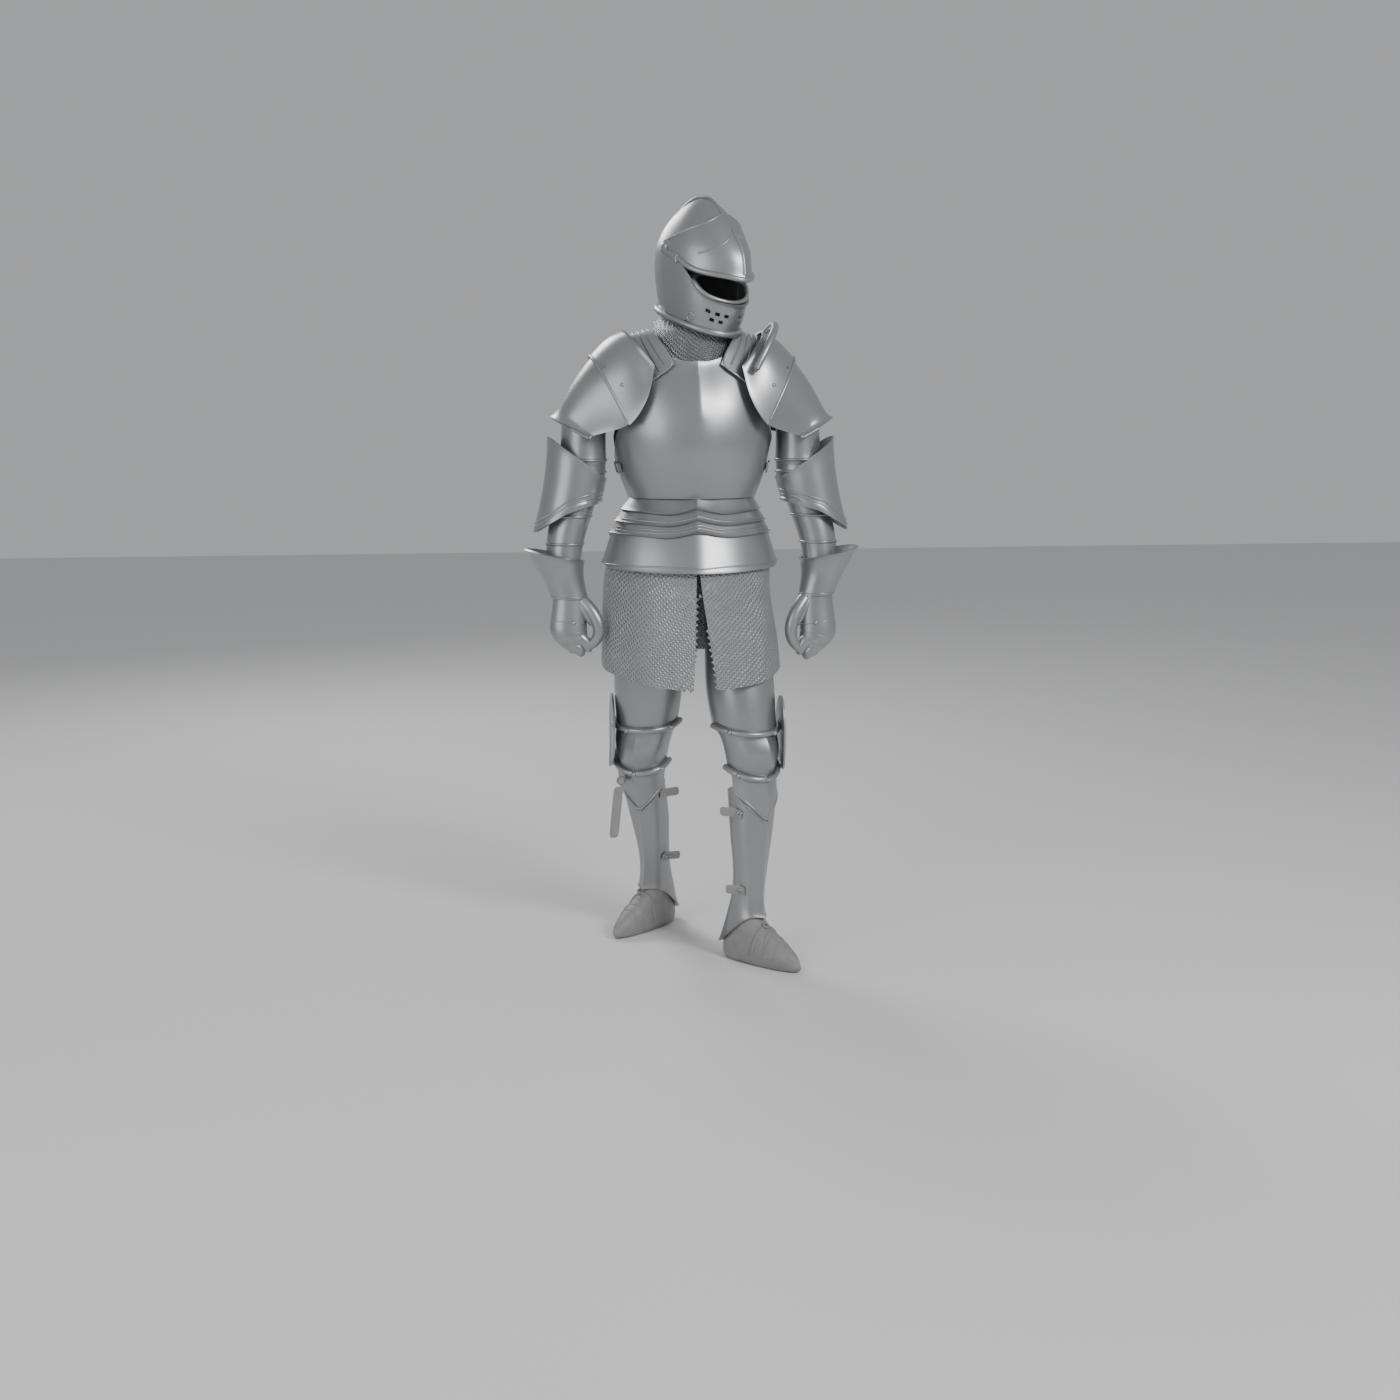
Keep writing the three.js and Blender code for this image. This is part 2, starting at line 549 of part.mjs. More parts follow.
function armPieces(key, side) {
  const mirror = side < 0;
  const arm = [
    0, 0.5, { v: 0.54, lift: 2.5 }, { v: 0.6, lift: 2.5 }, 0.63, { v: 0.69, lift: 2.5 },
    { v: 0.75, lift: 2.5 }, 0.8, 1,
  ];
  const fan = (u) => Math.sin(rad(u));
  const border = (u, v) => (v > 0.86 ? 3.5 : 0) + ridge(Math.abs(u - 180), 12, 30) * Math.sin(Math.PI * v);
  return [
    tube({
      name: `rerebrace_${key}`, table: UPPER_ARM, top: () => 1345, bottom: () => 1150, steps: arm,
      mirror,
    }),
    tube({ name: `vambrace_${key}`, table: FOREARM, top: () => 1164, bottom: () => 948, rows: 4, mirror }),
    tube({
      name: `couter_${key}`, table: ELBOW, top: (u) => 1240 + 52 * fan(u),
      bottom: (u) => 1112 - 38 * fan(u) - 14 * Math.abs(fan(u)),
      steps: [{ v: 0, lift: 3 }, 0.07, 0.45, 0.84, 0.88, 1], count: 18, lift: border, mirror,
    }),
    tube({
      name: `gauntlet_cuff_${key}`, table: CUFF, top: (u) => 1008 + 16 * fan(u), bottom: () => 903,
      rows: 3, first: 4.5, mirror,
    }),
    tube({
      name: `gauntlet_hand_${key}`, table: HAND, top: () => 912, bottom: () => 762,
      steps: [0, 0.3, 0.57, 0.71, 0.84, 0.95, 1], pole: "last", mirror, stretch: REACH[key],
    }),
    thumb(`gauntlet_thumb_${key}`, REACH[key], mirror),
  ];
}

function thumb(name, stretch, mirror) {
  const root = new THREE.Vector3(251.7, -56, mix(912, 872, stretch));
  const tip = new THREE.Vector3(226, -66, mix(912, 796, stretch));
  const at = (u, v) => {
    const end = Math.max(0, 1 - ((v - 0.85) / 0.15) ** 2);
    const radius = v > 0.85 ? 12 * Math.sqrt(end) : mix(14, 12, v / 0.85);
    const size = { side: radius + 0.01, front: radius + 0.01 };
    return oval({ x: mix(root.x, tip.x, v), y: mix(root.y, tip.y, v), z: mix(root.z, tip.z, v), ...size }, u);
  };
  return piece(
    name, wall({ us: ring(8), vs: [0, 0.45, 0.85, 0.96, 1], at, closed: true, pole: "last", mirror }),
  );
}

// The legs stand apart, the left one forward, with the feet turned out. x is outwards on each side.
const THIGH = {
  L: [
    { z: 880, x: 108, y: -18, side: 80, front: 82, turn: 6 },
    { z: 780, x: 110, y: -34, side: 84, front: 82, turn: 8 },
    { z: 662, x: 113, y: -56, side: 88, front: 88, turn: 18 },
    { z: 596, x: 119, y: -68, side: 82, front: 80, turn: 24 },
    { z: 556, x: 129, y: -74, side: 73, front: 73, turn: 28 },
  ],
  R: [
    { z: 880, x: 108, y: 10, side: 80, front: 84, turn: 8 },
    { z: 780, x: 108, y: 18, side: 84, front: 84, turn: 12 },
    { z: 662, x: 107, y: 26, side: 88, front: 86, turn: 16 },
    { z: 584, x: 109, y: 34, side: 78, front: 78, turn: 20 },
    { z: 552, x: 116, y: 40, side: 72, front: 72, turn: 22 },
  ],
};
const SHIN = {
  L: [
    { z: 480, x: 135, y: -77, side: 64, front: 62, back: 62, turn: 28 },
    { z: 446, x: 137, y: -80, side: 63, front: 58, back: 62, turn: 28 },
    { z: 400, x: 141, y: -85, side: 62, front: 52, back: 64, turn: 28 },
    { z: 333, x: 138, y: -95, side: 57, front: 48, back: 60, turn: 29 },
    { z: 259, x: 134, y: -104, side: 47, front: 44, back: 50, turn: 31 },
    { z: 200, x: 130, y: -110, side: 40, front: 41, back: 43, turn: 34 },
    { z: 150, x: 125, y: -111, side: 38.7, front: 42, back: 44.8, turn: 37 },
    { z: 100, x: 119, y: -112, side: 43.6, front: 58, back: 56, turn: 38 },
    { z: 24, x: 114, y: -112, side: 49, front: 72, back: 76, turn: 38 },
  ],
  R: [
    { z: 476, x: 121, y: 44, side: 62, front: 61, back: 60, turn: 24 },
    { z: 424, x: 119, y: 60, side: 58, front: 54, back: 60, turn: 25 },
    { z: 381, x: 109, y: 74, side: 55, front: 50, back: 60, turn: 27 },
    { z: 320, x: 98, y: 95, side: 52, front: 47, back: 58, turn: 31 },
    { z: 250, x: 87, y: 120, side: 43, front: 42, back: 49, turn: 36 },
    { z: 200, x: 80, y: 140, side: 40, front: 41, back: 43, turn: 39 },
    { z: 150, x: 75, y: 166, side: 40, front: 42, back: 46, turn: 42 },
    { z: 100, x: 69, y: 194, side: 45, front: 58, back: 56, turn: 43 },
    { z: 24, x: 66, y: 206, side: 49, front: 72, back: 76, turn: 43 },
  ],
};
const SHOE = [
  { z: 126, side: 37.6, front: 40.2, back: 41.8 },
  { z: 100, side: 38.6, front: 54, back: 43 },
  { z: 76, side: 39, front: 92, back: 48 },
  { z: 54, side: 40, front: 136, back: 57 },
  { z: 34, side: 42, front: 170, back: 60 },
  { z: 14, side: 42, front: 188, back: 60 },
  { z: 4, side: 38, front: 184, back: 56 },
];

// The knee bands and the plates between them rise to the sides, more on the outer side than inside.
const KNEE_PLATE = { bulge: 11, belly: 2, outerRise: 42, innerRise: 24, wing: { L: 77.2, R: 76.4 } };

function legPieces(key, tag, side) {
  const mirror = side < 0;
  const knee = KNEE[key];
  const [thigh, shin] = [THIGH[key], SHIN[key]];
  const back = (u) => ease((1 - Math.cos(rad(u))) / 2);
  const rise = (u) => (u > 0 ? KNEE_PLATE.outerRise : KNEE_PLATE.innerRise) * (1 - Math.cos(rad(u)));
  const cuisseLow = (u) => knee.z + mix(52, 84, back(u));
  const upperBand = (u, v) => {
    const z = knee.z + mix(68, 46, v) + 14 * (1 - Math.cos(rad(u)));
    return oval(rowAt(thigh, z), u, LAYER + 1.75);
  };
  const poleyn = (u, v) => {
    const z = mix(cuisseLow(u) - 0.9, knee.z - 52 + rise(u), v);
    const [above, below] = [rowAt(thigh, z), rowAt(shin, z)];
    const section = { z };
    for (const name of ["x", "y", "side", "front", "turn"]) {
      section[name] = mix(above[name], below[name], ease(v));
    }
    const bulge = KNEE_PLATE.bulge * Math.max(0, Math.cos(rad(u))) ** 1.5 + KNEE_PLATE.belly;
    return oval(section, u, v + bulge * Math.sin(Math.PI * v) ** 1.5);
  };
  const lowerBand = (u, v) => oval(rowAt(shin, knee.z + mix(-48, -66, v) + rise(u)), u, 2 * LAYER + 1.6);
  const demigreave = (u, v) => {
    const z = knee.z + mix(-58 + rise(u), -160 + 72 * Math.abs(u / 80), v);
    return oval(rowAt(shin, z), u, LAYER + 1.15);
  };
  const wing = (b, v) => {
    const [y, z] = [-62 * v * Math.sin(rad(b)), 50 + 96 * v * Math.cos(rad(b))];
    return new THREE.Vector3(
      knee.x + KNEE_PLATE.wing[key] + 8 * ease((-14 - z) / 40), knee.y + y, knee.z + z,
    );
  };
  const greaveTop = (u) => knee.z + mix(-60, -96, back(u));
  const greaveLow = (u) => mix(112, 28, back(u)) + 10 * Math.abs(Math.sin(rad(u)));
  const round = spread(-100, 100, 11);
  return [
    tube({
      name: `cuisse_${tag}`, table: thigh, top: () => 880, bottom: cuisseLow, rows: 4, count: 18, mirror,
    }),
    piece(
      `knee_band_upper_${tag}`,
      wall({ us: round, vs: stops(1, 34, { first: 3, last: 3 }), at: upperBand, mirror }),
    ),
    piece(
      `poleyn_${tag}`,
      wall({
        us: round, vs: [0, 0.08, 0.25, 0.45, 0.68, 0.93, 1], at: poleyn,
        lift: (u, v) => ridge(u, 7 * Math.sin(Math.PI * v) ** 1.5, 24), mirror,
      }),
    ),
    piece(
      `poleyn_wing_${tag}`,
      wall({
        us: ring(12), vs: [0, 0.5, 0.9, { v: 1, lift: 3 }], at: wing, closed: true, pole: "first",
        mirror,
      }),
    ),
    piece(
      `knee_band_lower_${tag}`,
      wall({ us: round, vs: stops(1, 30, { first: 3, last: 3 }), at: lowerBand, mirror }),
    ),
    piece(
      `demigreave_${tag}`,
      wall({
        us: spread(-80, 80, 9), vs: [0, 0.13, 0.35, 0.65, 1], at: demigreave,
        lift: (u, v) => ridge(u, 6 * (1 - v) * ease((v - 0.1) / 0.15), 24), mirror,
      }),
    ),
    tube({
      name: `greave_${tag}`, table: shin, top: greaveTop, bottom: greaveLow, rows: 7, count: 18,
      last: 4, lift: (u, v) => ridge(((u + 180) % 360) - 180, 4 * ease((v - 0.3) / 0.1), 20), mirror,
    }),
    greaveStrap(`greave_strap_upper_${tag}`, shin, STRAPS[key].upper, mirror),
    greaveStrap(`greave_strap_lower_${tag}`, shin, STRAPS[key].lower, mirror),
    shoe(`shoe_${tag}`, shin, mirror),
  ];
}

// A strap over the inner seam of a greave, with its free end standing off.
const STRAPS = {
  L: { upper: { z: 379, off: 1.15 }, lower: { z: 186, off: 1.2 } },
  R: { upper: { z: 396, off: 1.15 }, lower: { z: 212, off: 1.0 } },
};

function greaveStrap(name, shin, { z, off }, mirror) {
  const at = (f, v) => {
    const away = 30 * ease((0.5 - f) / 0.5) ** 1.5;
    return oval(rowAt(shin, z + 8 - 16 * v - 6 * f), mix(-98, -60, f), LEATHER + off + away);
  };
  return piece(name, wall({ us: spread(0, 1, 8), vs: [0, 1], at, thickness: LEATHER, mirror }), "leather");
}

function shoe(name, shin, mirror) {
  const heights = SHOE.map((row) => row.z);
  const at = (u, v) => {
    const k = Math.min(Math.floor(v), heights.length - 2);
    const sole = v > heights.length - 1;
    const z = sole ? heights.at(-1) : mix(heights[k], heights[k + 1], v - k);
    const { x, y, turn } = rowAt(shin, Math.max(z, shin.at(-1).z));
    const size = sole ? { z, side: 1, front: 60, back: 1 } : rowAt(SHOE, z);
    return oval({ ...size, x, y, turn }, u);
  };
  const vs = [...heights.keys(), heights.length];
  return piece(
    name, wall({ us: ring(18), vs, at, closed: true, thickness: LEATHER, pole: "last", mirror }),
    "leather",
  );
}

// The hanging strap and its ball on the outer side of the right greave.
const BALL = { u: 26, z: 435, out: 19, radius: 12.5 };

function hangingStrap() {
  const start = oval(rowAt(SHIN.R, BALL.z), BALL.u, BALL.out + 1.5);
  const at = (f, v) => {
    const sideways = 16 * v + 18 * (0.5 - f);
    return start.clone().add(new THREE.Vector3(sideways, 3 * (f - 0.5), mix(-13.2, -148, v)));
  };
  return piece(
    "hanging_strap_right",
    wall({ us: [0, 0.5, 1], vs: spread(0, 1, 6), at, thickness: LEATHER, mirror: true }), "leather",
  );
}

function strapBall() {
  const p = oval(rowAt(SHIN.R, BALL.z), BALL.u, BALL.out);
  const g = new THREE.SphereGeometry(BALL.radius, 12, 8);
  g.translate(-p.x, p.y, p.z);
  return piece("strap_ball_right", g, "leather");
}

const suit = new THREE.Group();
suit.name = "suit_of_plate_armour";
suit.add(
  helmetSkull(), visor(), bevor(), mailCollar(),
  templePivot("helmet_pivot_left", 1), templePivot("helmet_pivot_right", -1),
  cuirassPlate({ name: "breastplate", middle: 0, top: 1463, rise: 30, out: LAYER, below: 92 }),
  cuirassPlate({ name: "backplate", middle: 180, top: 1488, rise: 6, out: 0, below: 87.4 }),
  sideStrap("side_strap_left", 1), sideStrap("side_strap_right", -1),
  ...FAULD.map((row, k) => lame({
    ...row, overlap: 9, middle: 0, half: 84, out: 0, dip: -3, rows: k < 3 ? 1 : 2, corner: k < 3 ? 0 : 14,
  })),
  ...CULET.map((row) => lame({ ...row, overlap: 11, middle: 180, half: 94.8, out: -LAYER, rows: 1 })),
  mailSkirt(),
);
for (const [key, tag, side] of [["L", "left", 1], ["R", "right", -1]]) {
  suit.add(
    shoulderYoke(`shoulder_yoke_${tag}`, side), pauldronMain(`pauldron_main_${tag}`, side),
    pauldronLower(`pauldron_lower_${tag}`, side),
  );
  suit.add(...armPieces(tag, side), ...legPieces(key, tag, side));
}
suit.add(hautePiece("haute_piece_left"), hangingStrap(), strapBall());
suit.children.forEach((mesh) => mesh.geometry.translate(0, 0, -WAIST_HEIGHT));

export default suit;
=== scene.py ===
import json
import math

import bpy
from mathutils import Matrix, Vector


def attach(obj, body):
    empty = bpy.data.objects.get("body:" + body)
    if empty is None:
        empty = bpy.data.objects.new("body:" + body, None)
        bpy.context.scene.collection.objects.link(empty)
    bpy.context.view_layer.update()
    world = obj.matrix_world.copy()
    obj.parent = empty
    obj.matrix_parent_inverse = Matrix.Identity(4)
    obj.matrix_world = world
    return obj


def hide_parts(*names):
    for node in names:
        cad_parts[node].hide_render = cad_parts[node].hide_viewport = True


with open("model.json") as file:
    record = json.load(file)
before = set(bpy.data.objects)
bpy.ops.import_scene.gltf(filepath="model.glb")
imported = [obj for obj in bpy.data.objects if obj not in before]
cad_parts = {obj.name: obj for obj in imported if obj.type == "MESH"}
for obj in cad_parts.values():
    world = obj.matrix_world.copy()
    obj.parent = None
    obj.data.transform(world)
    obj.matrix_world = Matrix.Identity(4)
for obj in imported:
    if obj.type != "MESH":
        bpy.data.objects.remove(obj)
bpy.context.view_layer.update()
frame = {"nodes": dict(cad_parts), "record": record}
print("stage: frame loaded")

# the body that each node of the part rides on
bodies = frame["record"]["behaviour"]["bodies"]
bodyOf = {node: body for body, nodes in bodies.items() for node in nodes}

floorDrop = 1.143  # from the frame's origin, at the waist, down to the floor
upward = Vector((0, 0, 1))


def high(millimetres):  # a height above the floor, as a height in the frame
    return millimetres / 1000 - floorDrop


def clamped(value):
    return min(max(value, 0), 1)


def heading(turn):  # level direction, in degrees from the front to the suit's left
    return Vector((math.sin(math.radians(turn)), -math.cos(math.radians(turn)), 0))


cameraPlace = {
    "azimuth": -8.0, "distance": 4.168, "sideways": 0.020, "height": 0.218, "pitch": 9.84, "lens": 43.457,
    "sensor": 36,
}


def addCamera(place):
    azimuth, pitch = math.radians(place["azimuth"]), math.radians(place["pitch"])
    right = Vector((math.cos(azimuth), math.sin(azimuth), 0))
    forward = Vector((-math.sin(azimuth), math.cos(azimuth), 0))
    look = forward * math.cos(pitch) - upward * math.sin(pitch)
    turn = Matrix((right, right.cross(look), -look)).transposed().to_4x4()
    spot = right * place["sideways"] - forward * place["distance"] + upward * place["height"]
    bpy.ops.object.camera_add(location=spot)
    camera = bpy.context.object
    camera.matrix_world = Matrix.Translation(spot) @ turn
    camera.data.lens = place["lens"]
    camera.data.sensor_width = place["sensor"]
    bpy.context.scene.camera = camera


addCamera(cameraPlace)
print("stage: camera")


# Materials

steelLook = {
    "metallic": 0.7, "patch": 6.0, "smooth": 0.3, "rough": 0.4,
    "dark": (0.30, 0.305, 0.315), "light": (0.36, 0.365, 0.375), "dent": 26.0, "bump": 0.05,
}
# In the mail looks, dark is painted shade in the gaps between the rings and light is the wire.
skirtMailLook = {
    "metallic": 0.5, "sway": 18.0, "wander": 1.6, "around": 16.0, "rows": 76.0, "slant": 0.2,
    "ring": 0.36, "wire": 3.6, "dark": (0.24, 0.243, 0.25), "light": (0.35, 0.355, 0.365),
    "rough": 0.42, "bump": 0.75,
}
collarMailLook = {
    "metallic": 0.5, "sway": 22.0, "wander": 2.0, "around": 10.0, "rows": 100.0, "slant": -0.3,
    "ring": 0.36, "wire": 4.0, "dark": (0.15, 0.152, 0.158), "light": (0.36, 0.365, 0.375),
    "rough": 0.4, "bump": 1.0,
}
# In the leather look, dark is painted shade in the fold hollows and light is the fold crests.
leatherLook = {
    "grain": 420.0, "fold": 22.0, "twist": 1.2, "pores": 0.2,
    "dark": (0.20, 0.198, 0.195), "light": (0.30, 0.297, 0.292), "rough": 0.5, "bump": 0.5,
}


def newMaterial(name):
    material = bpy.data.materials.new(name)
    material.use_nodes = True
    tree = material.node_tree
    return material, tree.nodes, tree.links, tree.nodes["Principled BSDF"]


def addNode(nodes, kind, **values):
    node = nodes.new(kind)
    for name, value in values.items():
        node.inputs[name.replace("_", " ")].default_value = value
    return node


def mathNode(nodes, links, operation, first, second=None):
    node = nodes.new("ShaderNodeMath")
    node.operation = operation
    for socket, value in zip(node.inputs, (first, second)):
        if value is None:
            continue
        if isinstance(value, (int, float)):
            socket.default_value = value
        else:
            links.new(value, socket)
    return node.outputs[0]


def twoTone(nodes, links, shader, share, look):  # from the dark tone to the light one
    colour = nodes.new("ShaderNodeMix")
    colour.data_type = "RGBA"
    colour.inputs["A"].default_value = (*look["dark"], 1)
    colour.inputs["B"].default_value = (*look["light"], 1)
    links.new(share, colour.inputs["Factor"])
    links.new(colour.outputs["Result"], shader.inputs["Base Color"])


def raised(nodes, links, shader, height, strength, distance):
    bump = addNode(nodes, "ShaderNodeBump", Strength=strength, Distance=distance)
    links.new(height, bump.inputs["Height"])
    links.new(bump.outputs["Normal"], shader.inputs["Normal"])


def satinSteel(name, look):
    material, nodes, links, shader = newMaterial(name)
    shader.inputs["Metallic"].default_value = look["metallic"]
    place = nodes.new("ShaderNodeTexCoord").outputs["Object"]
    patches = addNode(nodes, "ShaderNodeTexNoise", Scale=look["patch"], Detail=4.0)
    links.new(place, patches.inputs["Vector"])
    tone = nodes.new("ShaderNodeMapRange")
    tone.inputs["To Min"].default_value = look["smooth"]
    tone.inputs["To Max"].default_value = look["rough"]
    links.new(patches.outputs["Fac"], tone.inputs["Value"])
    links.new(tone.outputs["Result"], shader.inputs["Roughness"])
    twoTone(nodes, links, shader, patches.outputs["Fac"], look)
    dents = addNode(nodes, "ShaderNodeTexNoise", Scale=look["dent"], Detail=3.0)
    links.new(place, dents.inputs["Vector"])
    raised(nodes, links, shader, dents.outputs["Fac"], look["bump"], 0.002)
    return material


# Rows of round links that run round the suit and sway a little, each second row moved by half a link.
def linkedMail(name, look):
    material, nodes, links, shader = newMaterial(name)

    def calc(operation, first, second=None):
        return mathNode(nodes, links, operation, first, second)

    shader.inputs["Metallic"].default_value = look["metallic"]
    shader.inputs["Roughness"].default_value = look["rough"]
    place = nodes.new("ShaderNodeTexCoord").outputs["Object"]
    sway = addNode(nodes, "ShaderNodeTexNoise", Scale=look["sway"], Detail=2.0)
    links.new(place, sway.inputs["Vector"])
    split = nodes.new("ShaderNodeSeparateXYZ")
    links.new(place, split.inputs[0])
    hues = nodes.new("ShaderNodeSeparateColor")
    links.new(sway.outputs["Color"], hues.inputs[0])
    angle = calc("ARCTAN2", split.outputs["X"], calc("MULTIPLY", split.outputs["Y"], -1.0))
    drift = calc("MULTIPLY", hues.outputs["Red"], look["wander"])
    along = calc("ADD", calc("MULTIPLY", angle, look["around"]), drift)
    wander = calc("MULTIPLY", hues.outputs["Green"], look["wander"])
    lean = calc("ADD", calc("MULTIPLY", along, look["slant"]), wander)
    rise = calc("ADD", calc("MULTIPLY", split.outputs["Z"], look["rows"]), lean)
    rings = []
    for shift in (0.0, 0.5):
        cell = []
        for value in (along, rise):
            offset = calc("SUBTRACT", calc("FRACT", calc("ADD", value, shift)), 0.5)
            cell.append(calc("MULTIPLY", offset, offset))
        reach = calc("SQRT", calc("ADD", *cell))
        band = calc("ABSOLUTE", calc("SUBTRACT", reach, look["ring"]))
        rings.append(calc("SUBTRACT", 1.0, calc("MULTIPLY", band, look["wire"])))
    height = calc("MAXIMUM", calc("MAXIMUM", *rings), 0.0)
    # painted shade: the ring height also sets the colour, dark in the gaps between the rings
    twoTone(nodes, links, shader, height, look)
    raised(nodes, links, shader, height, look["bump"], 0.003)
    return material


def foldShadedLeather(name, look):
    material, nodes, links, shader = newMaterial(name)
    place = nodes.new("ShaderNodeTexCoord").outputs["Object"]
    grain = addNode(nodes, "ShaderNodeTexNoise", Scale=look["grain"], Detail=6.0)
    folds = addNode(nodes, "ShaderNodeTexNoise", Scale=look["fold"], Detail=2.0, Distortion=look["twist"])
    for texture in (grain, folds):
        links.new(place, texture.inputs["Vector"])
    pores = mathNode(nodes, links, "MULTIPLY", grain.outputs["Fac"], look["pores"])
    height = mathNode(nodes, links, "ADD", pores, folds.outputs["Fac"])
    # painted shade: the fold height also sets the colour, darker in the hollows of the folds
    twoTone(nodes, links, shader, folds.outputs["Fac"], look)
    shader.inputs["Roughness"].default_value = look["rough"]
    raised(nodes, links, shader, height, look["bump"], 0.004)
    return material


finishes = {
    "plate_steel": satinSteel("satinSteel", steelLook),
    "mail_steel": linkedMail("skirtMail", skirtMailLook),
    "collar_mail": linkedMail("collarMail", collarMailLook),
    "grey_leather": foldShadedLeather("foldShadedLeather", leatherLook),
}
print("stage: materials")


# Making and finishing of pieces

plateForm = {"levels": 2, "merge": 0.00003, "flat": 50, "square": 80, "ridgeStep": 0.004}
rimSearch = {"width": 0.0034, "sharpness": 40, "innerGap": 0.012}
threadMesh = {"along": 4, "around": 2, "smooth": 50}
tubeMesh = {"along": 6, "around": 5, "smooth": 60, "unit": 0.001}
bandColumns = 11


def deselect():
    if bpy.context.object and bpy.context.object.mode != "OBJECT":
        bpy.ops.object.mode_set(mode="OBJECT")
    bpy.ops.object.select_all(action="DESELECT")


def takeUp(piece):
    deselect()
    piece.select_set(True)
    bpy.context.view_layer.objects.active = piece


def finishPiece(piece, body, slot, finish=None):
    piece.data.materials.clear()
    piece.data.materials.append(finishes[finish or slot])
    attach(piece, body)
    return piece


def joinPieces(made, name):
    deselect()
    for piece in made:
        piece.select_set(True)
    bpy.context.view_layer.objects.active = made[0]
    bpy.ops.object.join()
    bpy.ops.object.transform_apply(location=True, rotation=True, scale=True)
    joined = bpy.context.object
    joined.name = name
    return joined


def mergedCopy(node, name):
    source = frame["nodes"][node]
    piece = bpy.data.objects.new(name, source.data.copy())
    bpy.context.collection.objects.link(piece)
    piece.matrix_world = source.matrix_world
    takeUp(piece)
    bpy.ops.object.transform_apply(location=True, rotation=True, scale=True)
    bpy.ops.object.mode_set(mode="EDIT")
    bpy.ops.mesh.select_all(action="SELECT")
    bpy.ops.mesh.remove_doubles(threshold=plateForm["merge"])
    bpy.ops.mesh.tris_convert_to_quads(face_threshold=math.radians(plateForm["flat"]),
                                       shape_threshold=math.radians(plateForm["square"]))
    bpy.ops.mesh.normals_make_consistent(inside=False)
    bpy.ops.object.mode_set(mode="OBJECT")
    return piece


# Moves vertices in edit mode, all those with the same move in one go.
def nudgeVertices(piece, shift):
    groups = {}
    for vertex in piece.data.vertices:
        move = tuple(round(part, 4) for part in shift(vertex.co))
        if any(move):
            groups.setdefault(move, []).append(vertex.index)
    takeUp(piece)
    bpy.ops.object.mode_set(mode="EDIT")
    bpy.ops.mesh.select_mode(type="VERT")
    for move, members in groups.items():
        bpy.ops.mesh.select_all(action="DESELECT")
        bpy.ops.object.mode_set(mode="OBJECT")
        for index in members:
            piece.data.vertices[index].select = True
        bpy.ops.object.mode_set(mode="EDIT")
        bpy.ops.transform.translate(value=move)
    bpy.ops.object.mode_set(mode="OBJECT")


def creaseRidge(piece, onRidge):
    bpy.ops.object.mode_set(mode="EDIT")
    bpy.ops.mesh.select_mode(type="EDGE")
    bpy.ops.mesh.select_all(action="DESELECT")
    bpy.ops.object.mode_set(mode="OBJECT")
    mesh = piece.data
    for edge in mesh.edges:
        low, top = [mesh.vertices[index].co for index in edge.vertices]
        edge.select = onRidge(low) and onRidge(top) and abs(low.z - top.z) > plateForm["ridgeStep"]
    bpy.ops.object.mode_set(mode="EDIT")
    bpy.ops.transform.edge_crease(value=1.0)
    bpy.ops.object.mode_set(mode="OBJECT")


# A smooth form over a CAD node: edges sharper than sharp keep their crease, and angles past crisp show.
def smoothPlate(node, slot="plate_steel", sharp=46, crisp=14, shift=None, ridge=None, finish=None):
    piece = mergedCopy(node, node + "_form")
    if shift:
        nudgeVertices(piece, shift)
    bpy.ops.object.mode_set(mode="EDIT")
    bpy.ops.mesh.select_mode(type="EDGE")
    bpy.ops.mesh.select_all(action="DESELECT")
    bpy.ops.mesh.edges_select_sharp(sharpness=math.radians(sharp))
    bpy.ops.transform.edge_crease(value=1.0)
    bpy.ops.object.mode_set(mode="OBJECT")
    if ridge is not None:
        creaseRidge(piece, ridge)
    fine = piece.modifiers.new("fine", "SUBSURF")
    fine.levels = plateForm["levels"]
    bpy.ops.object.modifier_apply(modifier=fine.name)
    bpy.ops.object.shade_smooth_by_angle(angle=math.radians(crisp))
    finishPiece(piece, bodyOf[node], slot, finish)
    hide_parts(node)
    return piece


# The narrow faces of a wall's edge are its rim. Their sharp edges are walked from end to end.
def rimChains(mesh):
    near = {}
    for face in mesh.polygons:
        for key in face.edge_keys:
            near.setdefault(key, []).append(face)
    limit = math.radians(rimSearch["sharpness"])
    sharp = {key for key, faces in near.items()
             if len(faces) == 2 and faces[0].normal.angle(faces[1].normal, 0) > limit}
    rims = set()
    for face in mesh.polygons:
        longest = max((mesh.vertices[a].co - mesh.vertices[b].co).length for a, b in face.edge_keys)
        if face.area * (2 if len(face.vertices) == 3 else 1) / longest < rimSearch["width"]:
            rims.add(face.index)
    links = {}
    for key in sharp:
        if sum(face.index in rims for face in near[key]) == 1:
            links.setdefault(key[0], []).append(key[1])
            links.setdefault(key[1], []).append(key[0])
    chains = []
    seen = set()
    for start in sorted(links):
        if start in seen:
            continue
        chain = [start]
        seen.add(start)
        for forward in (True, False):
            while True:
                onward = [v for v in links[chain[-1 if forward else 0]] if v not in seen]
                if not onward:
                    break
                chain.insert(len(chain) if forward else 0, onward[0])
                seen.add(onward[0])
        if len(chain) > 3:
            chains.append(([mesh.vertices[v].co.copy() for v in chain], chain[0] in links[chain[-1]]))
    return chains


def chainLength(points):
    return sum((b - a).length for a, b in zip(points, points[1:]))


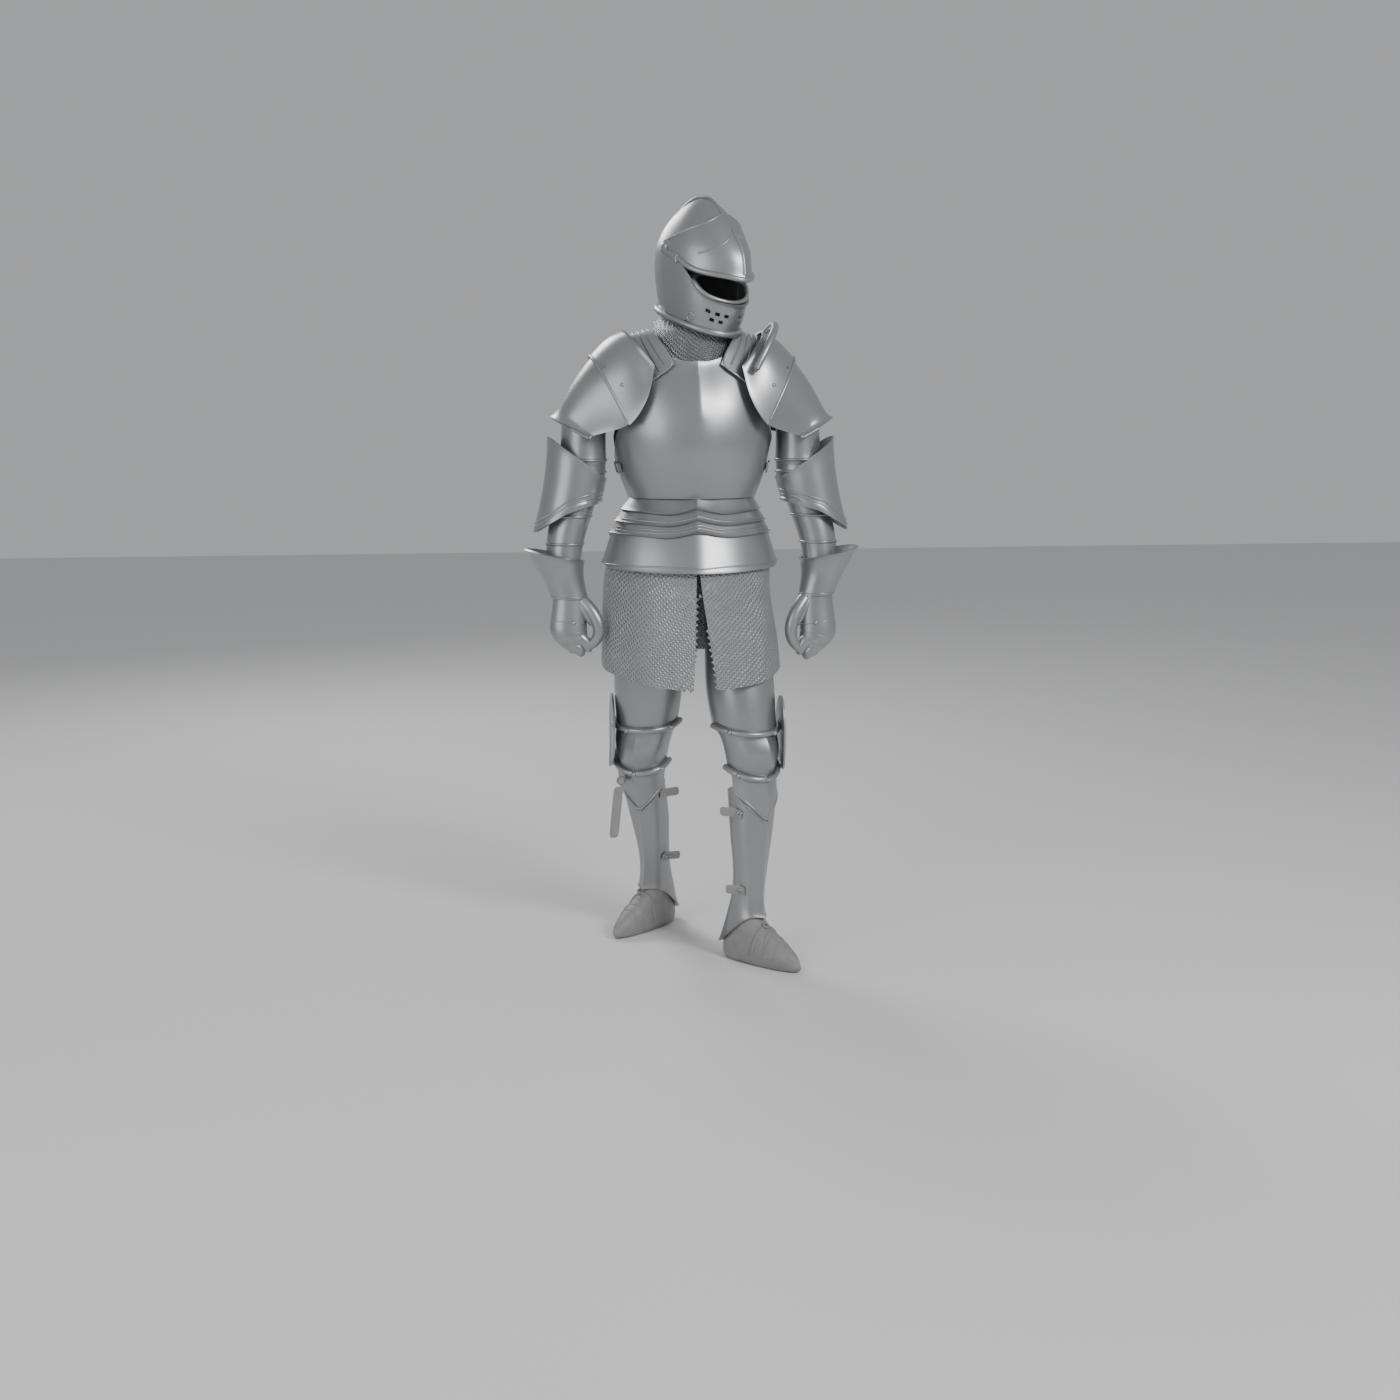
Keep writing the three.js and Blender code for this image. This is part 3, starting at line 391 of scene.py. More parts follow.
# Of the two lines along a wall's rim, the longer one is the outer.
def outerRims(node, shift=None):
    probe = mergedCopy(node, node + "_probe")
    if shift:
        nudgeVertices(probe, shift)
    chains = rimChains(probe.data)
    bpy.data.objects.remove(probe, do_unlink=True)
    outer = []
    for points, closed in chains:
        inner = False
        for others, _ in chains:
            if others is points:
                continue
            gap = sum(min((p - q).length for q in others) for p in points) / len(points)
            if gap < rimSearch["innerGap"] and chainLength(others) > chainLength(points):
                inner = True
        if not inner:
            outer.append((points, closed))
    return outer


def bevelledCurve(name, points, widths, closed, depth, mesh):
    curve = bpy.data.curves.new(name, "CURVE")
    curve.dimensions = "3D"
    spline = curve.splines.new("NURBS")
    spline.points.add(len(points) - 1)
    for spot, point, width in zip(spline.points, points, widths):
        spot.co = (*point, 1)
        spot.radius = width
    spline.order_u = 4
    spline.use_cyclic_u = closed
    spline.use_endpoint_u = not closed
    spline.resolution_u = mesh["along"]
    curve.bevel_depth = depth
    curve.bevel_resolution = mesh["around"]
    curve.use_fill_caps = True
    piece = bpy.data.objects.new(name, curve)
    bpy.context.collection.objects.link(piece)
    takeUp(piece)
    bpy.ops.object.convert(target="MESH")
    return bpy.context.object


def threadBead(name, points, closed, radius, body, slot="plate_steel"):
    piece = bevelledCurve(name, points, [1.0] * len(points), closed, radius, threadMesh)
    bpy.ops.object.shade_smooth_by_angle(angle=math.radians(threadMesh["smooth"]))
    return finishPiece(piece, body, slot)


def taperedTube(name, points, widths, body):
    piece = bevelledCurve(name, points, widths, False, tubeMesh["unit"], tubeMesh)
    bpy.ops.object.mode_set(mode="EDIT")
    bpy.ops.mesh.select_all(action="SELECT")
    bpy.ops.mesh.remove_doubles(threshold=plateForm["merge"])
    bpy.ops.mesh.normals_make_consistent(inside=False)
    bpy.ops.object.mode_set(mode="OBJECT")
    soft = piece.modifiers.new("soft", "SUBSURF")
    soft.levels = 1
    bpy.ops.object.modifier_apply(modifier=soft.name)
    bpy.ops.object.shade_smooth_by_angle(angle=math.radians(tubeMesh["smooth"]))
    return finishPiece(piece, body, "plate_steel")


# A bead along the outer rims of a node, where keep says so.
def rolledEdge(node, radius, keep=lambda p: True, shift=None):
    count = 0
    for points, closed in outerRims(node, shift):
        wanted = [keep(p) for p in points]
        if all(wanted):
            runs = [(points, closed)]
        else:
            if closed:
                start = wanted.index(False)
                points = points[start:] + points[:start]
                wanted = wanted[start:] + wanted[:start]
            runs, run = [], []
            for point, good in zip(points + [None], wanted + [False]):
                if good:
                    run.append(point)
                    continue
                if len(run) > 2:
                    runs.append((run, False))
                run = []
        for run, whole in runs:
            count += 1
            threadBead(f"{node}_edge_{count}", run, whole, radius, bodyOf[node])
    if not count:
        print("no edge found on", node)


# A band's vertices in equal shares, in the order of key.
def bandShares(node, key):
    probe = mergedCopy(node, node + "_probe")
    places = sorted(((key(vertex.co), vertex.co.copy()) for vertex in probe.data.vertices),
                    key=lambda place: place[0])
    bpy.data.objects.remove(probe, do_unlink=True)
    share = len(places) / bandColumns
    return [[point for _, point in places[round(step * share):round((step + 1) * share)]]
            for step in range(bandColumns)]


def bandMiddle(node, centre, turn):
    def angle(point):
        x, y = point.x - centre[0], point.y - centre[1]
        return (math.degrees(math.atan2(x, -y)) - turn + 180) % 360 - 180

    return [sum(column, Vector()) / len(column) for column in bandShares(node, angle)]


def strike(plate, origin, direction):
    hit, place, normal, _ = plate.ray_cast(origin, direction)
    return (place, normal) if hit else (None, None)


def aroundPoint(plate, centre, angle, height):
    way = heading(angle)
    return strike(plate, Vector((centre[0], centre[1], height)) + way * 0.45, -way)


# A thin line laid round a plate. angles holds its first, its last and the number of points.
def girthLine(name, plate, centre, angles, height, radius, body):
    points = []
    for step in range(angles[2]):
        angle = angles[0] + (angles[1] - angles[0]) * step / (angles[2] - 1)
        place, _ = aroundPoint(plate, centre, angle, height(angle))
        if place:
            points.append(place)
    if len(points) > 3:
        threadBead(name, points, False, radius, body)
    else:
        print("no line for", name)


def rivets(name, spots, radius, body, rise=0.6):
    made = []
    for plate, centre, angle, height in spots:
        place, normal = aroundPoint(plate, centre, angle, height)
        if not place:
            print("no place for a rivet of", name)
            continue
        deselect()
        bpy.ops.mesh.primitive_uv_sphere_add(segments=14, ring_count=8, radius=radius, location=place)
        dome = bpy.context.object
        dome.scale = (1, 1, rise)
        dome.rotation_euler = normal.to_track_quat("Z", "Y").to_euler()
        made.append(dome)
    piece = joinPieces(made, name)
    bpy.ops.object.shade_smooth_by_angle(angle=math.radians(60))
    finishPiece(piece, body, "plate_steel")


# A ring of wire. size holds its radius, the wire's radius and the number of segments.
def wireRing(name, centre, turn, size, body, slot="plate_steel", squeeze=(1, 1, 1)):
    deselect()
    bpy.ops.mesh.primitive_torus_add(
        major_radius=size[0], minor_radius=size[1], major_segments=size[2], minor_segments=8,
        location=centre, rotation=turn)
    ring = bpy.context.object
    ring.scale = squeeze
    bpy.ops.object.transform_apply(location=True, rotation=True, scale=True)
    bpy.ops.object.shade_smooth_by_angle(angle=math.radians(60))
    ring.name = name
    finishPiece(ring, body, slot)


# The helmet. Its lines are rows of degrees from its own front, and millimetres above the floor.

headPlace = {"x": 0.025, "y": -0.004, "turn": 32.0}

helmetLines = {
    "visor_lower_roll": {"plate": "visor", "radius": 0.0066, "low": (
        (0, 1652), (10, 1654), (20, 1659), (40, 1666), (56, 1674), (68, 1687), (80, 1708), (90, 1717),
        (101, 1728))},
    "visor_upper_step": {"plate": "visor", "radius": 0.0028, "low": (
        (0, 1809), (20, 1801), (40, 1785), (56, 1778), (68, 1771), (80, 1763), (96, 1752))},
    "visor_brow_crease": {"plate": "visor", "radius": 0.0026, "low": (
        (0, 1768), (12, 1746), (26, 1729), (40, 1719), (54, 1713))},
    "bevor_upper_roll": {"plate": "bevor", "radius": 0.0058, "low": (
        (0, 1597), (10, 1598), (20, 1600), (32, 1606), (42, 1613), (55, 1635), (68, 1672), (76, 1694))},
}
helmetOval = {"half": 92, "front": 128, "back": 146}
helmetTemple = {"from": 36, "full": 14, "to": 104, "fade": 12, "low": 1738, "over": 0.012, "rise": 0.013,
                "inset": 0.005}
visorTail = {"start": ((88, 1718), (84, 1715), (80, 1713)), "turn": 82, "away": 0.003, "drops": (4, 11, 17),
             "radius": 0.0042}
visorKeel = {"low": 1664, "top": 1774, "step": 12, "radius": 0.0042}
neckRoll = {"level": 1560, "swing": 43, "frontLift": 8, "lift": 4, "side": (83.5, 0.2),
            "front": (109.5, 0.42), "back": (127.5, 0.13), "points": 32, "radius": 0.0082}
helmetComb = {"centre": 1690, "first": -64, "step": 8, "points": 17, "radius": 0.0040}
helmetRivets = {"spots": ((-98, 1604), (98, 1604), (-150, 1600)), "radius": 0.0046}
latchRing = {"turn": -58, "height": 1572, "size": (0.009, 0.0019, 20), "away": 0.001}


def headPoint(across, forward, height):
    turn = math.radians(headPlace["turn"])
    x = across * math.cos(turn) + forward * math.sin(turn)
    y = across * math.sin(turn) - forward * math.cos(turn)
    return Vector((headPlace["x"] + x, headPlace["y"] + y, height))


def headAngle(point):
    turn = math.radians(headPlace["turn"])
    x, y = point.x - headPlace["x"], point.y - headPlace["y"]
    across = x * math.cos(turn) + y * math.sin(turn)
    forward = x * math.sin(turn) - y * math.cos(turn)
    return math.degrees(math.atan2(across, forward))


def headWay(u):  # outward on the helmet's oval, which is longer behind than in front
    u = math.radians(u)
    length = helmetOval["front" if math.cos(u) > 0 else "back"]
    rim = headPoint(helmetOval["half"] * math.sin(u), length * math.cos(u), 0)
    return (rim - headPoint(0, 0, 0)).normalized()


def headSpot(plate, u, height):
    return strike(plate, headPoint(0, 0, high(height)) + headWay(u) * 0.4, -headWay(u))


# The visor's upper edge at the temples is brought up and in over the skull.
def templeCover(point):
    angle = abs(headAngle(point))
    share = clamped((angle - helmetTemple["from"]) / helmetTemple["full"])
    share *= clamped((helmetTemple["to"] - angle) / helmetTemple["fade"])
    share *= clamped((point.z - high(helmetTemple["low"])) / helmetTemple["over"])
    outward = (point - headPoint(0, 0, point.z)).normalized()
    return upward * (helmetTemple["rise"] * share) - outward * (helmetTemple["inset"] * share)


def addVisorLines(visor, bevor):
    for name, line in helmetLines.items():
        spots = [(-u, z) for u, z in reversed(line["low"]) if u] + list(line["low"])
        plate = visor if line["plate"] == "visor" else bevor
        points = [place for place in (headSpot(plate, u, z)[0] for u, z in spots) if place]
        threadBead("helmet_" + name, points, False, line["radius"], bodyOf["helmet_" + line["plate"]])
    heights = range(visorKeel["low"], visorKeel["top"], visorKeel["step"])
    keel = [place for place in (headSpot(visor, 0, z)[0] for z in heights) if place]
    threadBead("helmet_visor_keel", keel, False, visorKeel["radius"], "visor")
    for sign, side in ((1, "left"), (-1, "right")):
        tail = [headSpot(visor, sign * u, z)[0] for u, z in visorTail["start"]]
        tail = [spot for spot in tail if spot]
        corner = tail[-1] + headWay(sign * visorTail["turn"]) * visorTail["away"]
        drops = [corner - upward * drop / 1000 for drop in visorTail["drops"]]
        threadBead("helmet_visor_tail_" + side, tail + drops, False, visorTail["radius"], "visor")


def addNeckRoll():
    rim = []
    for step in range(neckRoll["points"]):
        u = math.radians(step * 360 / neckRoll["points"])
        drop = neckRoll["lift"] - neckRoll["swing"] * math.cos(u)
        drop += neckRoll["frontLift"] * max(0, math.cos(u))
        base, flare = neckRoll["front" if math.cos(u) > 0 else "back"]
        across = (neckRoll["side"][0] + neckRoll["side"][1] * drop) / 1000 * math.sin(u)
        forward = (base + flare * drop) / 1000 * math.cos(u)
        rim.append(headPoint(across, forward, high(neckRoll["level"] + drop)))
    threadBead("helmet_neck_roll", rim, True, neckRoll["radius"], "suit")


def addComb(skull):
    crest = []
    for step in range(helmetComb["points"]):
        tilt = math.radians(helmetComb["first"] + helmetComb["step"] * step)
        way = headPoint(0, math.sin(tilt), math.cos(tilt)) - headPoint(0, 0, 0)
        place, _ = strike(skull, headPoint(0, 0, high(helmetComb["centre"])) + way * 0.4, -way)
        if place:
            crest.append(place)
    threadBead("helmet_comb", crest, False, helmetComb["radius"], "suit")


def dressHelmet():
    skull = smoothPlate("helmet_skull")
    visor = smoothPlate("helmet_visor", sharp=27, crisp=10, shift=templeCover,
                        ridge=lambda p: abs(headAngle(p)) < 3)
    bevor = smoothPlate("helmet_bevor", sharp=40)
    for side in ("left", "right"):
        smoothPlate("helmet_pivot_" + side)
    addVisorLines(visor, bevor)
    addNeckRoll()
    addComb(skull)
    centre, turn = (headPlace["x"], headPlace["y"]), headPlace["turn"]
    spots = [(skull, centre, turn + a, high(z)) for a, z in helmetRivets["spots"]]
    rivets("helmet_rivets", spots, helmetRivets["radius"], "suit")
    spot, normal = aroundPoint(bevor, centre, turn + latchRing["turn"], high(latchRing["height"]))
    wireRing("helmet_latch_ring", spot + normal * latchRing["away"],
             normal.to_track_quat("Z", "Y").to_euler(), latchRing["size"], "suit")
    print("stage: helmet")


dressHelmet()


# The mail, with the toothed edges of its slit

mailSlit = {"top": 962, "middle": 0.006, "reach": 0.06, "front": -0.1, "pitch": 0.014}
slitTooth = {"radius": 0.0068, "depth": 0.0075, "flat": 0.34, "inset": 0.003, "back": 0.0015}


def addTooth(spot, sign):
    deselect()
    inset = Vector((-sign * slitTooth["inset"], slitTooth["back"], 0))
    bpy.ops.mesh.primitive_cone_add(vertices=4, radius1=slitTooth["radius"], depth=slitTooth["depth"],
                                    location=spot + inset)
    tooth = bpy.context.object
    tooth.rotation_euler = (0, -sign * math.pi / 2, 0)
    tooth.scale = (1, slitTooth["flat"], 1)
    return tooth


def dressMail():
    collar = smoothPlate("mail_collar", "mail_steel", sharp=60, finish="collar_mail")
    skirt = smoothPlate("mail_skirt", "mail_steel", sharp=60)
    made = []
    for points, _ in outerRims("mail_skirt"):
        edge = [p for p in points
                if p.y < mailSlit["front"] and abs(p.x) < mailSlit["reach"] and p.z < high(mailSlit["top"])]
        for sign in (-1, 1):
            run = sorted((p for p in edge if (p.x - mailSlit["middle"]) * sign > 0), key=lambda p: p.z)
            for low, top in zip(run, run[1:]):
                count = max(1, round((top - low).length / mailSlit["pitch"]))
                for step in range(count):
                    made.append(addTooth(low.lerp(top, (step + 0.5) / count), sign))
    teeth = joinPieces(made, "mail_skirt_slit_teeth")
    finishPiece(teeth, "suit", "mail_steel")
    print("stage: mail", len(made))


dressMail()


# The cuirass, with the lames below it. Heights are in millimetres above the floor.

fauldLames = {
    1: {"top": 1148, "low": 1116, "edge": 1129, "radius": 0.0024, "lines": ()},
    2: {"top": 1124, "low": 1089, "edge": 1102, "radius": 0.0024, "lines": ((1096, 76),)},
    3: {"top": 1098, "low": 1061, "edge": 1075, "radius": 0.0024, "lines": ((1076, 78), (1069, 78))},
    4: {"top": 1071, "low": 974, "edge": 1004, "radius": 0.0034, "lines": ((986, 80),)},
}
fauldWave = {"middle": 8, "dip": 14, "side": -6, "turn": 32, "fade": 52, "end": 84, "point": -5,
             "ridge": 0.003}
fauldLine = {"points": 41, "radius": 0.0022}
culetLames = {1: 1106, 2: 1062, 3: 1000}
culetRoll = 0.0022
cuirassRoll = {"above": 1225, "radius": 0.0045}
sideBuckle = {"turn": 86, "height": 1217, "size": (0.015, 0.0022, 24), "squeeze": (0.8, 1, 0.9)}


def middleShare(angle):  # 0 on the medial ridge, 1 where the wave turns
    return math.sin(math.pi / 2 * min(angle / fauldWave["turn"], 1))


def lameWave(angle):
    if angle < fauldWave["turn"]:
        return fauldWave["middle"] - fauldWave["dip"] * middleShare(angle)
    return fauldWave["side"] * (1 - (angle - fauldWave["turn"]) / fauldWave["fade"])


def lineWave(number, angle):
    angle = min(abs(angle), fauldWave["end"])
    if number == 4:
        return fauldWave["point"] * (1 - middleShare(angle)) / 1000
    return lameWave(angle) / 1000


def lameShift(number):
    lame = fauldLames[number]

    def shift(point):
        angle = min(abs(math.degrees(math.atan2(point.x, -point.y))), fauldWave["end"])
        down = clamped((high(lame["top"]) - point.z) / (high(lame["top"]) - high(lame["low"])))
        share = {1: down, 4: 1 - down}.get(number, 1)
        hem = fauldWave["point"] * (1 - middleShare(angle)) * down if number == 4 else 0
        return (0, -fauldWave["ridge"] if angle < 3 else 0, (lameWave(angle) * share + hem) / 1000)

    return shift


def dressCuirass():
    smoothPlate("breastplate", sharp=19)
    smoothPlate("backplate")
    for node in ("breastplate", "backplate"):
        rolledEdge(node, cuirassRoll["radius"], lambda p: p.z > high(cuirassRoll["above"]))
    for number, settings in fauldLames.items():
        name = f"fauld_lame_{number}"
        lame = smoothPlate(name, sharp=30, crisp=10, shift=lameShift(number),
                           ridge=lambda p: p.y < 0 and abs(p.x) < 0.006)
        rolledEdge(name, settings["radius"], lambda p: p.z < high(settings["edge"]), lameShift(number))
        for line, (under, end) in enumerate(settings["lines"]):
            girthLine(f"{name}_line_{line + 1}", lame, (0, 0), (-end, end, fauldLine["points"]),
                      lambda a: high(under) + lineWave(number, a), fauldLine["radius"], "suit")
    for number, edge in culetLames.items():
        smoothPlate(f"culet_lame_{number}", sharp=30)
        rolledEdge(f"culet_lame_{number}", culetRoll, lambda p: p.z < high(edge))
    for side, sign in (("left", 1), ("right", -1)):
        strap = smoothPlate("side_strap_" + side, "grey_leather")
        place, normal = aroundPoint(strap, (0, 0), sign * sideBuckle["turn"], high(sideBuckle["height"]))
        wireRing("side_buckle_" + side, place, normal.to_track_quat("Z", "Y").to_euler(), sideBuckle["size"],
                 "suit", squeeze=sideBuckle["squeeze"])
    print("stage: cuirass")


dressCuirass()


# The shoulders

yokeRibs = {"shares": (0.12, 0.28, 0.44, 0.6), "points": 19, "radius": 0.0024, "axis": 1440, "outer": 0.186,
            "inner": (0.054, 0.058)}
shoulderRolls = {"yoke": 0.0022, "main": 0.0042, "lower": 0.0040, "outside": 0.2}
pauldronRivet = {"centre": 0.1, "turn": 34, "height": 1412, "radius": 0.005}
hautePiece = {"axis": (0.187, 0, high(1430)), "rolls": (("upper", 0.0092, 1.0), ("middle", 0.0062, 0.45))}


# A line along the haute-piece, from its foot at share 0 to its crest at share 1.
def standingRoll(share):
    axis = Vector(hautePiece["axis"])
    roll = []
    for column in bandShares("haute_piece_left", lambda p: math.atan2(p.z - axis.z, -p.y)):
        column.sort(key=lambda p: (p - axis).length)
        half = len(column) // 2
        base = sum(column[:half], Vector()) / half
        crest = sum(column[-2:], Vector()) / 2
        roll.append(base.lerp(crest, share))
    return roll


def addYokeRibs(yoke, side, sign):
    for number, share in enumerate(yokeRibs["shares"]):
        points = []
        for step in range(yokeRibs["points"]):
            a = math.radians(1 + 178 * step / (yokeRibs["points"] - 1))
            inner = yokeRibs["inner"][0] + yokeRibs["inner"][1] * math.sin(a)
            x = inner + (yokeRibs["outer"] - inner) * share
            way = Vector((0, -math.cos(a), math.sin(a)))
            place, _ = strike(yoke, Vector((sign * x, 0, high(yokeRibs["axis"]))) + way * 0.3, -way)
            if place:
                points.append(place)
        if len(points) > 3:
            threadBead(f"shoulder_yoke_{side}_rib_{number + 1}", points, False, yokeRibs["radius"], "suit")


def dressShoulders():
    for side, sign in (("left", 1), ("right", -1)):
        yoke = smoothPlate("shoulder_yoke_" + side)
        rolledEdge("shoulder_yoke_" + side, shoulderRolls["yoke"])
        addYokeRibs(yoke, side, sign)
        main = smoothPlate("pauldron_main_" + side)
        rolledEdge("pauldron_main_" + side, shoulderRolls["main"])
        smoothPlate("pauldron_lower_" + side)
        rolledEdge("pauldron_lower_" + side, shoulderRolls["lower"],
                   lambda p: abs(p.x) > shoulderRolls["outside"])
        spot = (main, (sign * pauldronRivet["centre"], 0), sign * pauldronRivet["turn"],
                high(pauldronRivet["height"]))
        rivets("pauldron_rivets_" + side, [spot], pauldronRivet["radius"], "suit")
    smoothPlate("haute_piece_left")
    for label, radius, share in hautePiece["rolls"]:
        threadBead("haute_piece_left_roll_" + label, standingRoll(share), False, radius, "suit")
    print("stage: shoulders")


dressShoulders()


# The arms. Widths are in millimetres; the left hand hangs a little longer than the right one.

handReach = {"left": 1.13, "right": 1.0}
rerebraceBands = {"heights": (1234, 1206), "centre": (0.27, 0.004), "radius": 0.0036}
couterBorder = {"centre": (0.312, -0.004), "level": 1112, "fan": 38, "ends": 14, "lifts": (15, 25),
                "radius": 0.0024}
vambraceBands = {"rows": ((1100, 0.292, -0.008), (1034, 0.306, -0.020)), "radius": 0.0036}
wristCrease = {"height": 908, "centre": (0.305, -0.038), "radius": 0.0018}
handLook = {"wrist": 912, "centre": (0.306, -0.042), "edge": 0.0016, "rivet": (-14, 846, 0.0055),
            "lines": ((846, 6), (818, -10), (800, -16), (784, -20)), "radius": 0.0012}
fingerTubes = {
    "web": {"widths": (16, 17, 14, 8), "path": (
        (0.284, -0.048, 896), (0.266, -0.056, 872), (0.254, -0.060, 850), (0.249, -0.062, 840))},
    "forefinger": {"widths": (17, 18, 16, 12), "path": (
        (0.300, -0.050, 824), (0.278, -0.058, 806), (0.260, -0.060, 792), (0.264, -0.052, 778))},
    "middle_finger": {"widths": (17, 19, 17, 12), "path": (
        (0.322, -0.048, 806), (0.298, -0.056, 790), (0.277, -0.058, 779), (0.282, -0.048, 769))},
}
thumbTube = {"widths": (17, 18, 17, 16, 14.5, 13.5, 11), "path": (
    (0.280, -0.046, 902), (0.262, -0.056, 884), (0.246, -0.064, 862), (0.236, -0.068, 838),
    (0.236, -0.068, 815), (0.247, -0.064, 797), (0.262, -0.058, 786))}


def dressArm(side, sign):
    def mirrored(place):
        return (sign * place[0], place[1])

    upper = smoothPlate("rerebrace_" + side, sharp=40)
    for number, height in enumerate(rerebraceBands["heights"]):
        girthLine(f"rerebrace_{side}_band_{number + 1}", upper, mirrored(rerebraceBands["centre"]),
                  (-180, 178, 30), lambda a: high(height), rerebraceBands["radius"], "suit")
    forearm = smoothPlate("vambrace_" + side)
    couter = smoothPlate("couter_" + side, sharp=40)

    def lower(angle):  # the couter's lower edge, which falls towards the outside
        fan = math.sin(math.radians(angle)) * sign
        return couterBorder["level"] - couterBorder["fan"] * fan - couterBorder["ends"] * abs(fan)

    for number, lift in enumerate(couterBorder["lifts"]):
        girthLine(f"couter_{side}_border_{number + 1}", couter, mirrored(couterBorder["centre"]),
                  (-175, 175, 40), lambda a: high(lower(a) + lift), couterBorder["radius"], "suit")
    cuff = smoothPlate("gauntlet_cuff_" + side)
    for number, (height, x, y) in enumerate(vambraceBands["rows"]):
        girthLine(f"vambrace_{side}_band_{number + 1}", forearm, mirrored((x, y)),
                  (-180, 178, 30), lambda a: high(height), vambraceBands["radius"], "suit")
    girthLine(f"gauntlet_{side}_wrist_crease", cuff, mirrored(wristCrease["centre"]),
              (-120, 120, 24), lambda a: high(wristCrease["height"]), wristCrease["radius"], "suit")
    dressHand(side, sign, mirrored(handLook["centre"]))


def dressHand(side, sign, centre):
    def handHigh(height):
        return high(handLook["wrist"] - (handLook["wrist"] - height) * handReach[side])

    def handPath(path):
        return [Vector((sign * x, y, handHigh(z))) for x, y, z in path]

    hand = smoothPlate("gauntlet_hand_" + side)
    rolledEdge("gauntlet_hand_" + side, handLook["edge"])
    for number, (height, slope) in enumerate(handLook["lines"]):
        girthLine(f"gauntlet_{side}_finger_line_{number + 1}", hand, centre, (-100, 100, 16),
                  lambda a: handHigh(height) + slope * math.sin(math.radians(a)) * sign / 1000,
                  handLook["radius"], "suit")
    turn, height, radius = handLook["rivet"]
    rivets("gauntlet_rivets_" + side, [(hand, centre, sign * turn, handHigh(height))], radius, "suit")
    for label, tube in fingerTubes.items():
        taperedTube(f"gauntlet_{label}_{side}", handPath(tube["path"]), tube["widths"], "suit")
    thumb = taperedTube("gauntlet_thumb_" + side + "_form", handPath(thumbTube["path"]),
                        thumbTube["widths"], "suit")
    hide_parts("gauntlet_thumb_" + side)


for armSide, armSign in (("left", 1), ("right", -1)):
    dressArm(armSide, armSign)
print("stage: arms")


# The legs. An axis row gives a height, the leg's middle there and the way that its front points.

legPlaces = {
    "left": {
        "sign": 1, "kneeHeight": 516, "turn": 28, "thigh": (0.125, -0.072), "shin": (0.139, -0.084),
        "straps": ((379, (0.139, -0.088)), (186, (0.128, -0.110))), "foot": (0.115, -0.112), "footTurn": 38,
        "axis": (
            (575, 133, -75, 28), (516, 134, -76, 28), (480, 135, -77, 28), (446, 137, -80, 28),
            (400, 141, -85, 28), (333, 138, -95, 29), (259, 134, -104, 31), (200, 130, -110, 34),
            (150, 125, -111, 37), (100, 119, -112, 38), (24, 114, -112, 38)),
    },
    "right": {
        "sign": -1, "kneeHeight": 512, "turn": -22, "thigh": (-0.112, 0.038), "shin": (-0.117, 0.062),
        "straps": ((396, (-0.112, 0.069)), (212, (-0.082, 0.135))), "foot": (-0.067, 0.204), "footTurn": -43,
        "axis": (
            (575, -119, 40, -22), (512, -120, 42, -22), (476, -121, 44, -24), (424, -119, 60, -25),
            (381, -109, 74, -27), (320, -98, 95, -31), (250, -87, 120, -36), (200, -80, 140, -39),
            (150, -75, 166, -42), (100, -69, 194, -43), (24, -66, 206, -43)),
    },
}
legRidge = {"width": 6, "push": 0.0045}
kneeBand = {"radius": 0.0078, "first": -100, "step": 20, "inside": 0.05,
            "rivet": 0.0066, "upper": (2, 6, 8), "lower": (2, 5, 8)}
greaveVee = {"below": 160, "rise": 72, "half": 76, "step": 8,
             "lines": ((0, 0.0030, 0.0034), (9, 0.0018, 0.0012))}
greaveStrap = {"down": 3, "widen": 0.55, "turns": (-64, -72), "rivet": 0.0044}
shoeFuller = {"from": 0.012, "sole": 9, "swell": 0.020, "low": 6, "depth": 112, "reach": 0.09}
shoeCreases = {
    "shoe_toe_seam_{}": (0.128, 0.0, 0.0022), "shoe_fold_{}_1": (0.108, 0.008, 0.0028),
    "shoe_fold_{}_2": (0.090, -0.010, 0.0026), "shoe_strap_{}": (0.074, 0.012, 0.0044),
}
shoeKnot = {"size": (0.0075, 0.0026, 18), "lift": 0.003, "turn": (24, 18)}
hangingStrap = {"middle": 0.1685, "lean": 0.16, "top": 412, "widen": 0.4}


def legAxis(place, height):
    rows = place["axis"]
    for above, below in zip(rows, rows[1:]):
        if height >= below[0]:
            share = clamped((above[0] - height) / (above[0] - below[0]))
            return [a + (b - a) * share for a, b in zip(above, below)]
    return rows[-1]


def addKneeBand(label, side, place, centre, body):
    name = f"knee_band_{label}_{side}"
    line = bandMiddle(name, centre, place["turn"])
    band = threadBead(name + "_form", line, False, kneeBand["radius"], body)
    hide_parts(name)
    return line, band, body


def addKneeRivets(label, side, place, line, band, body):
    spots = []
    for column in kneeBand[label]:
        column = column if place["sign"] > 0 else bandColumns - 1 - column
        point = line[column]
        angle = place["turn"] + kneeBand["first"] + kneeBand["step"] * column
        spots.append((band, point.xy - heading(angle).xy * kneeBand["inside"], angle, point.z))
    rivets(f"knee_rivets_{label}_{side}", spots, kneeBand["rivet"], body, rise=1.0)


def addGreaveVee(side, place, greave, body):
    for drop, radius, away in greaveVee["lines"]:
        line = []
        for u in range(-greaveVee["half"], greaveVee["half"] + 1, greaveVee["step"]):
            low = place["kneeHeight"] - greaveVee["below"] + greaveVee["rise"] * abs(u / 80) - drop
            _, x, y, way = legAxis(place, low)
            spot, normal = aroundPoint(greave, (x / 1000, y / 1000), way + u, high(low))
            if spot:
                line.append(spot + normal * away)
        if len(line) > 4:
            threadBead(f"greave_{side}_vee_{drop}", line, False, radius, body)


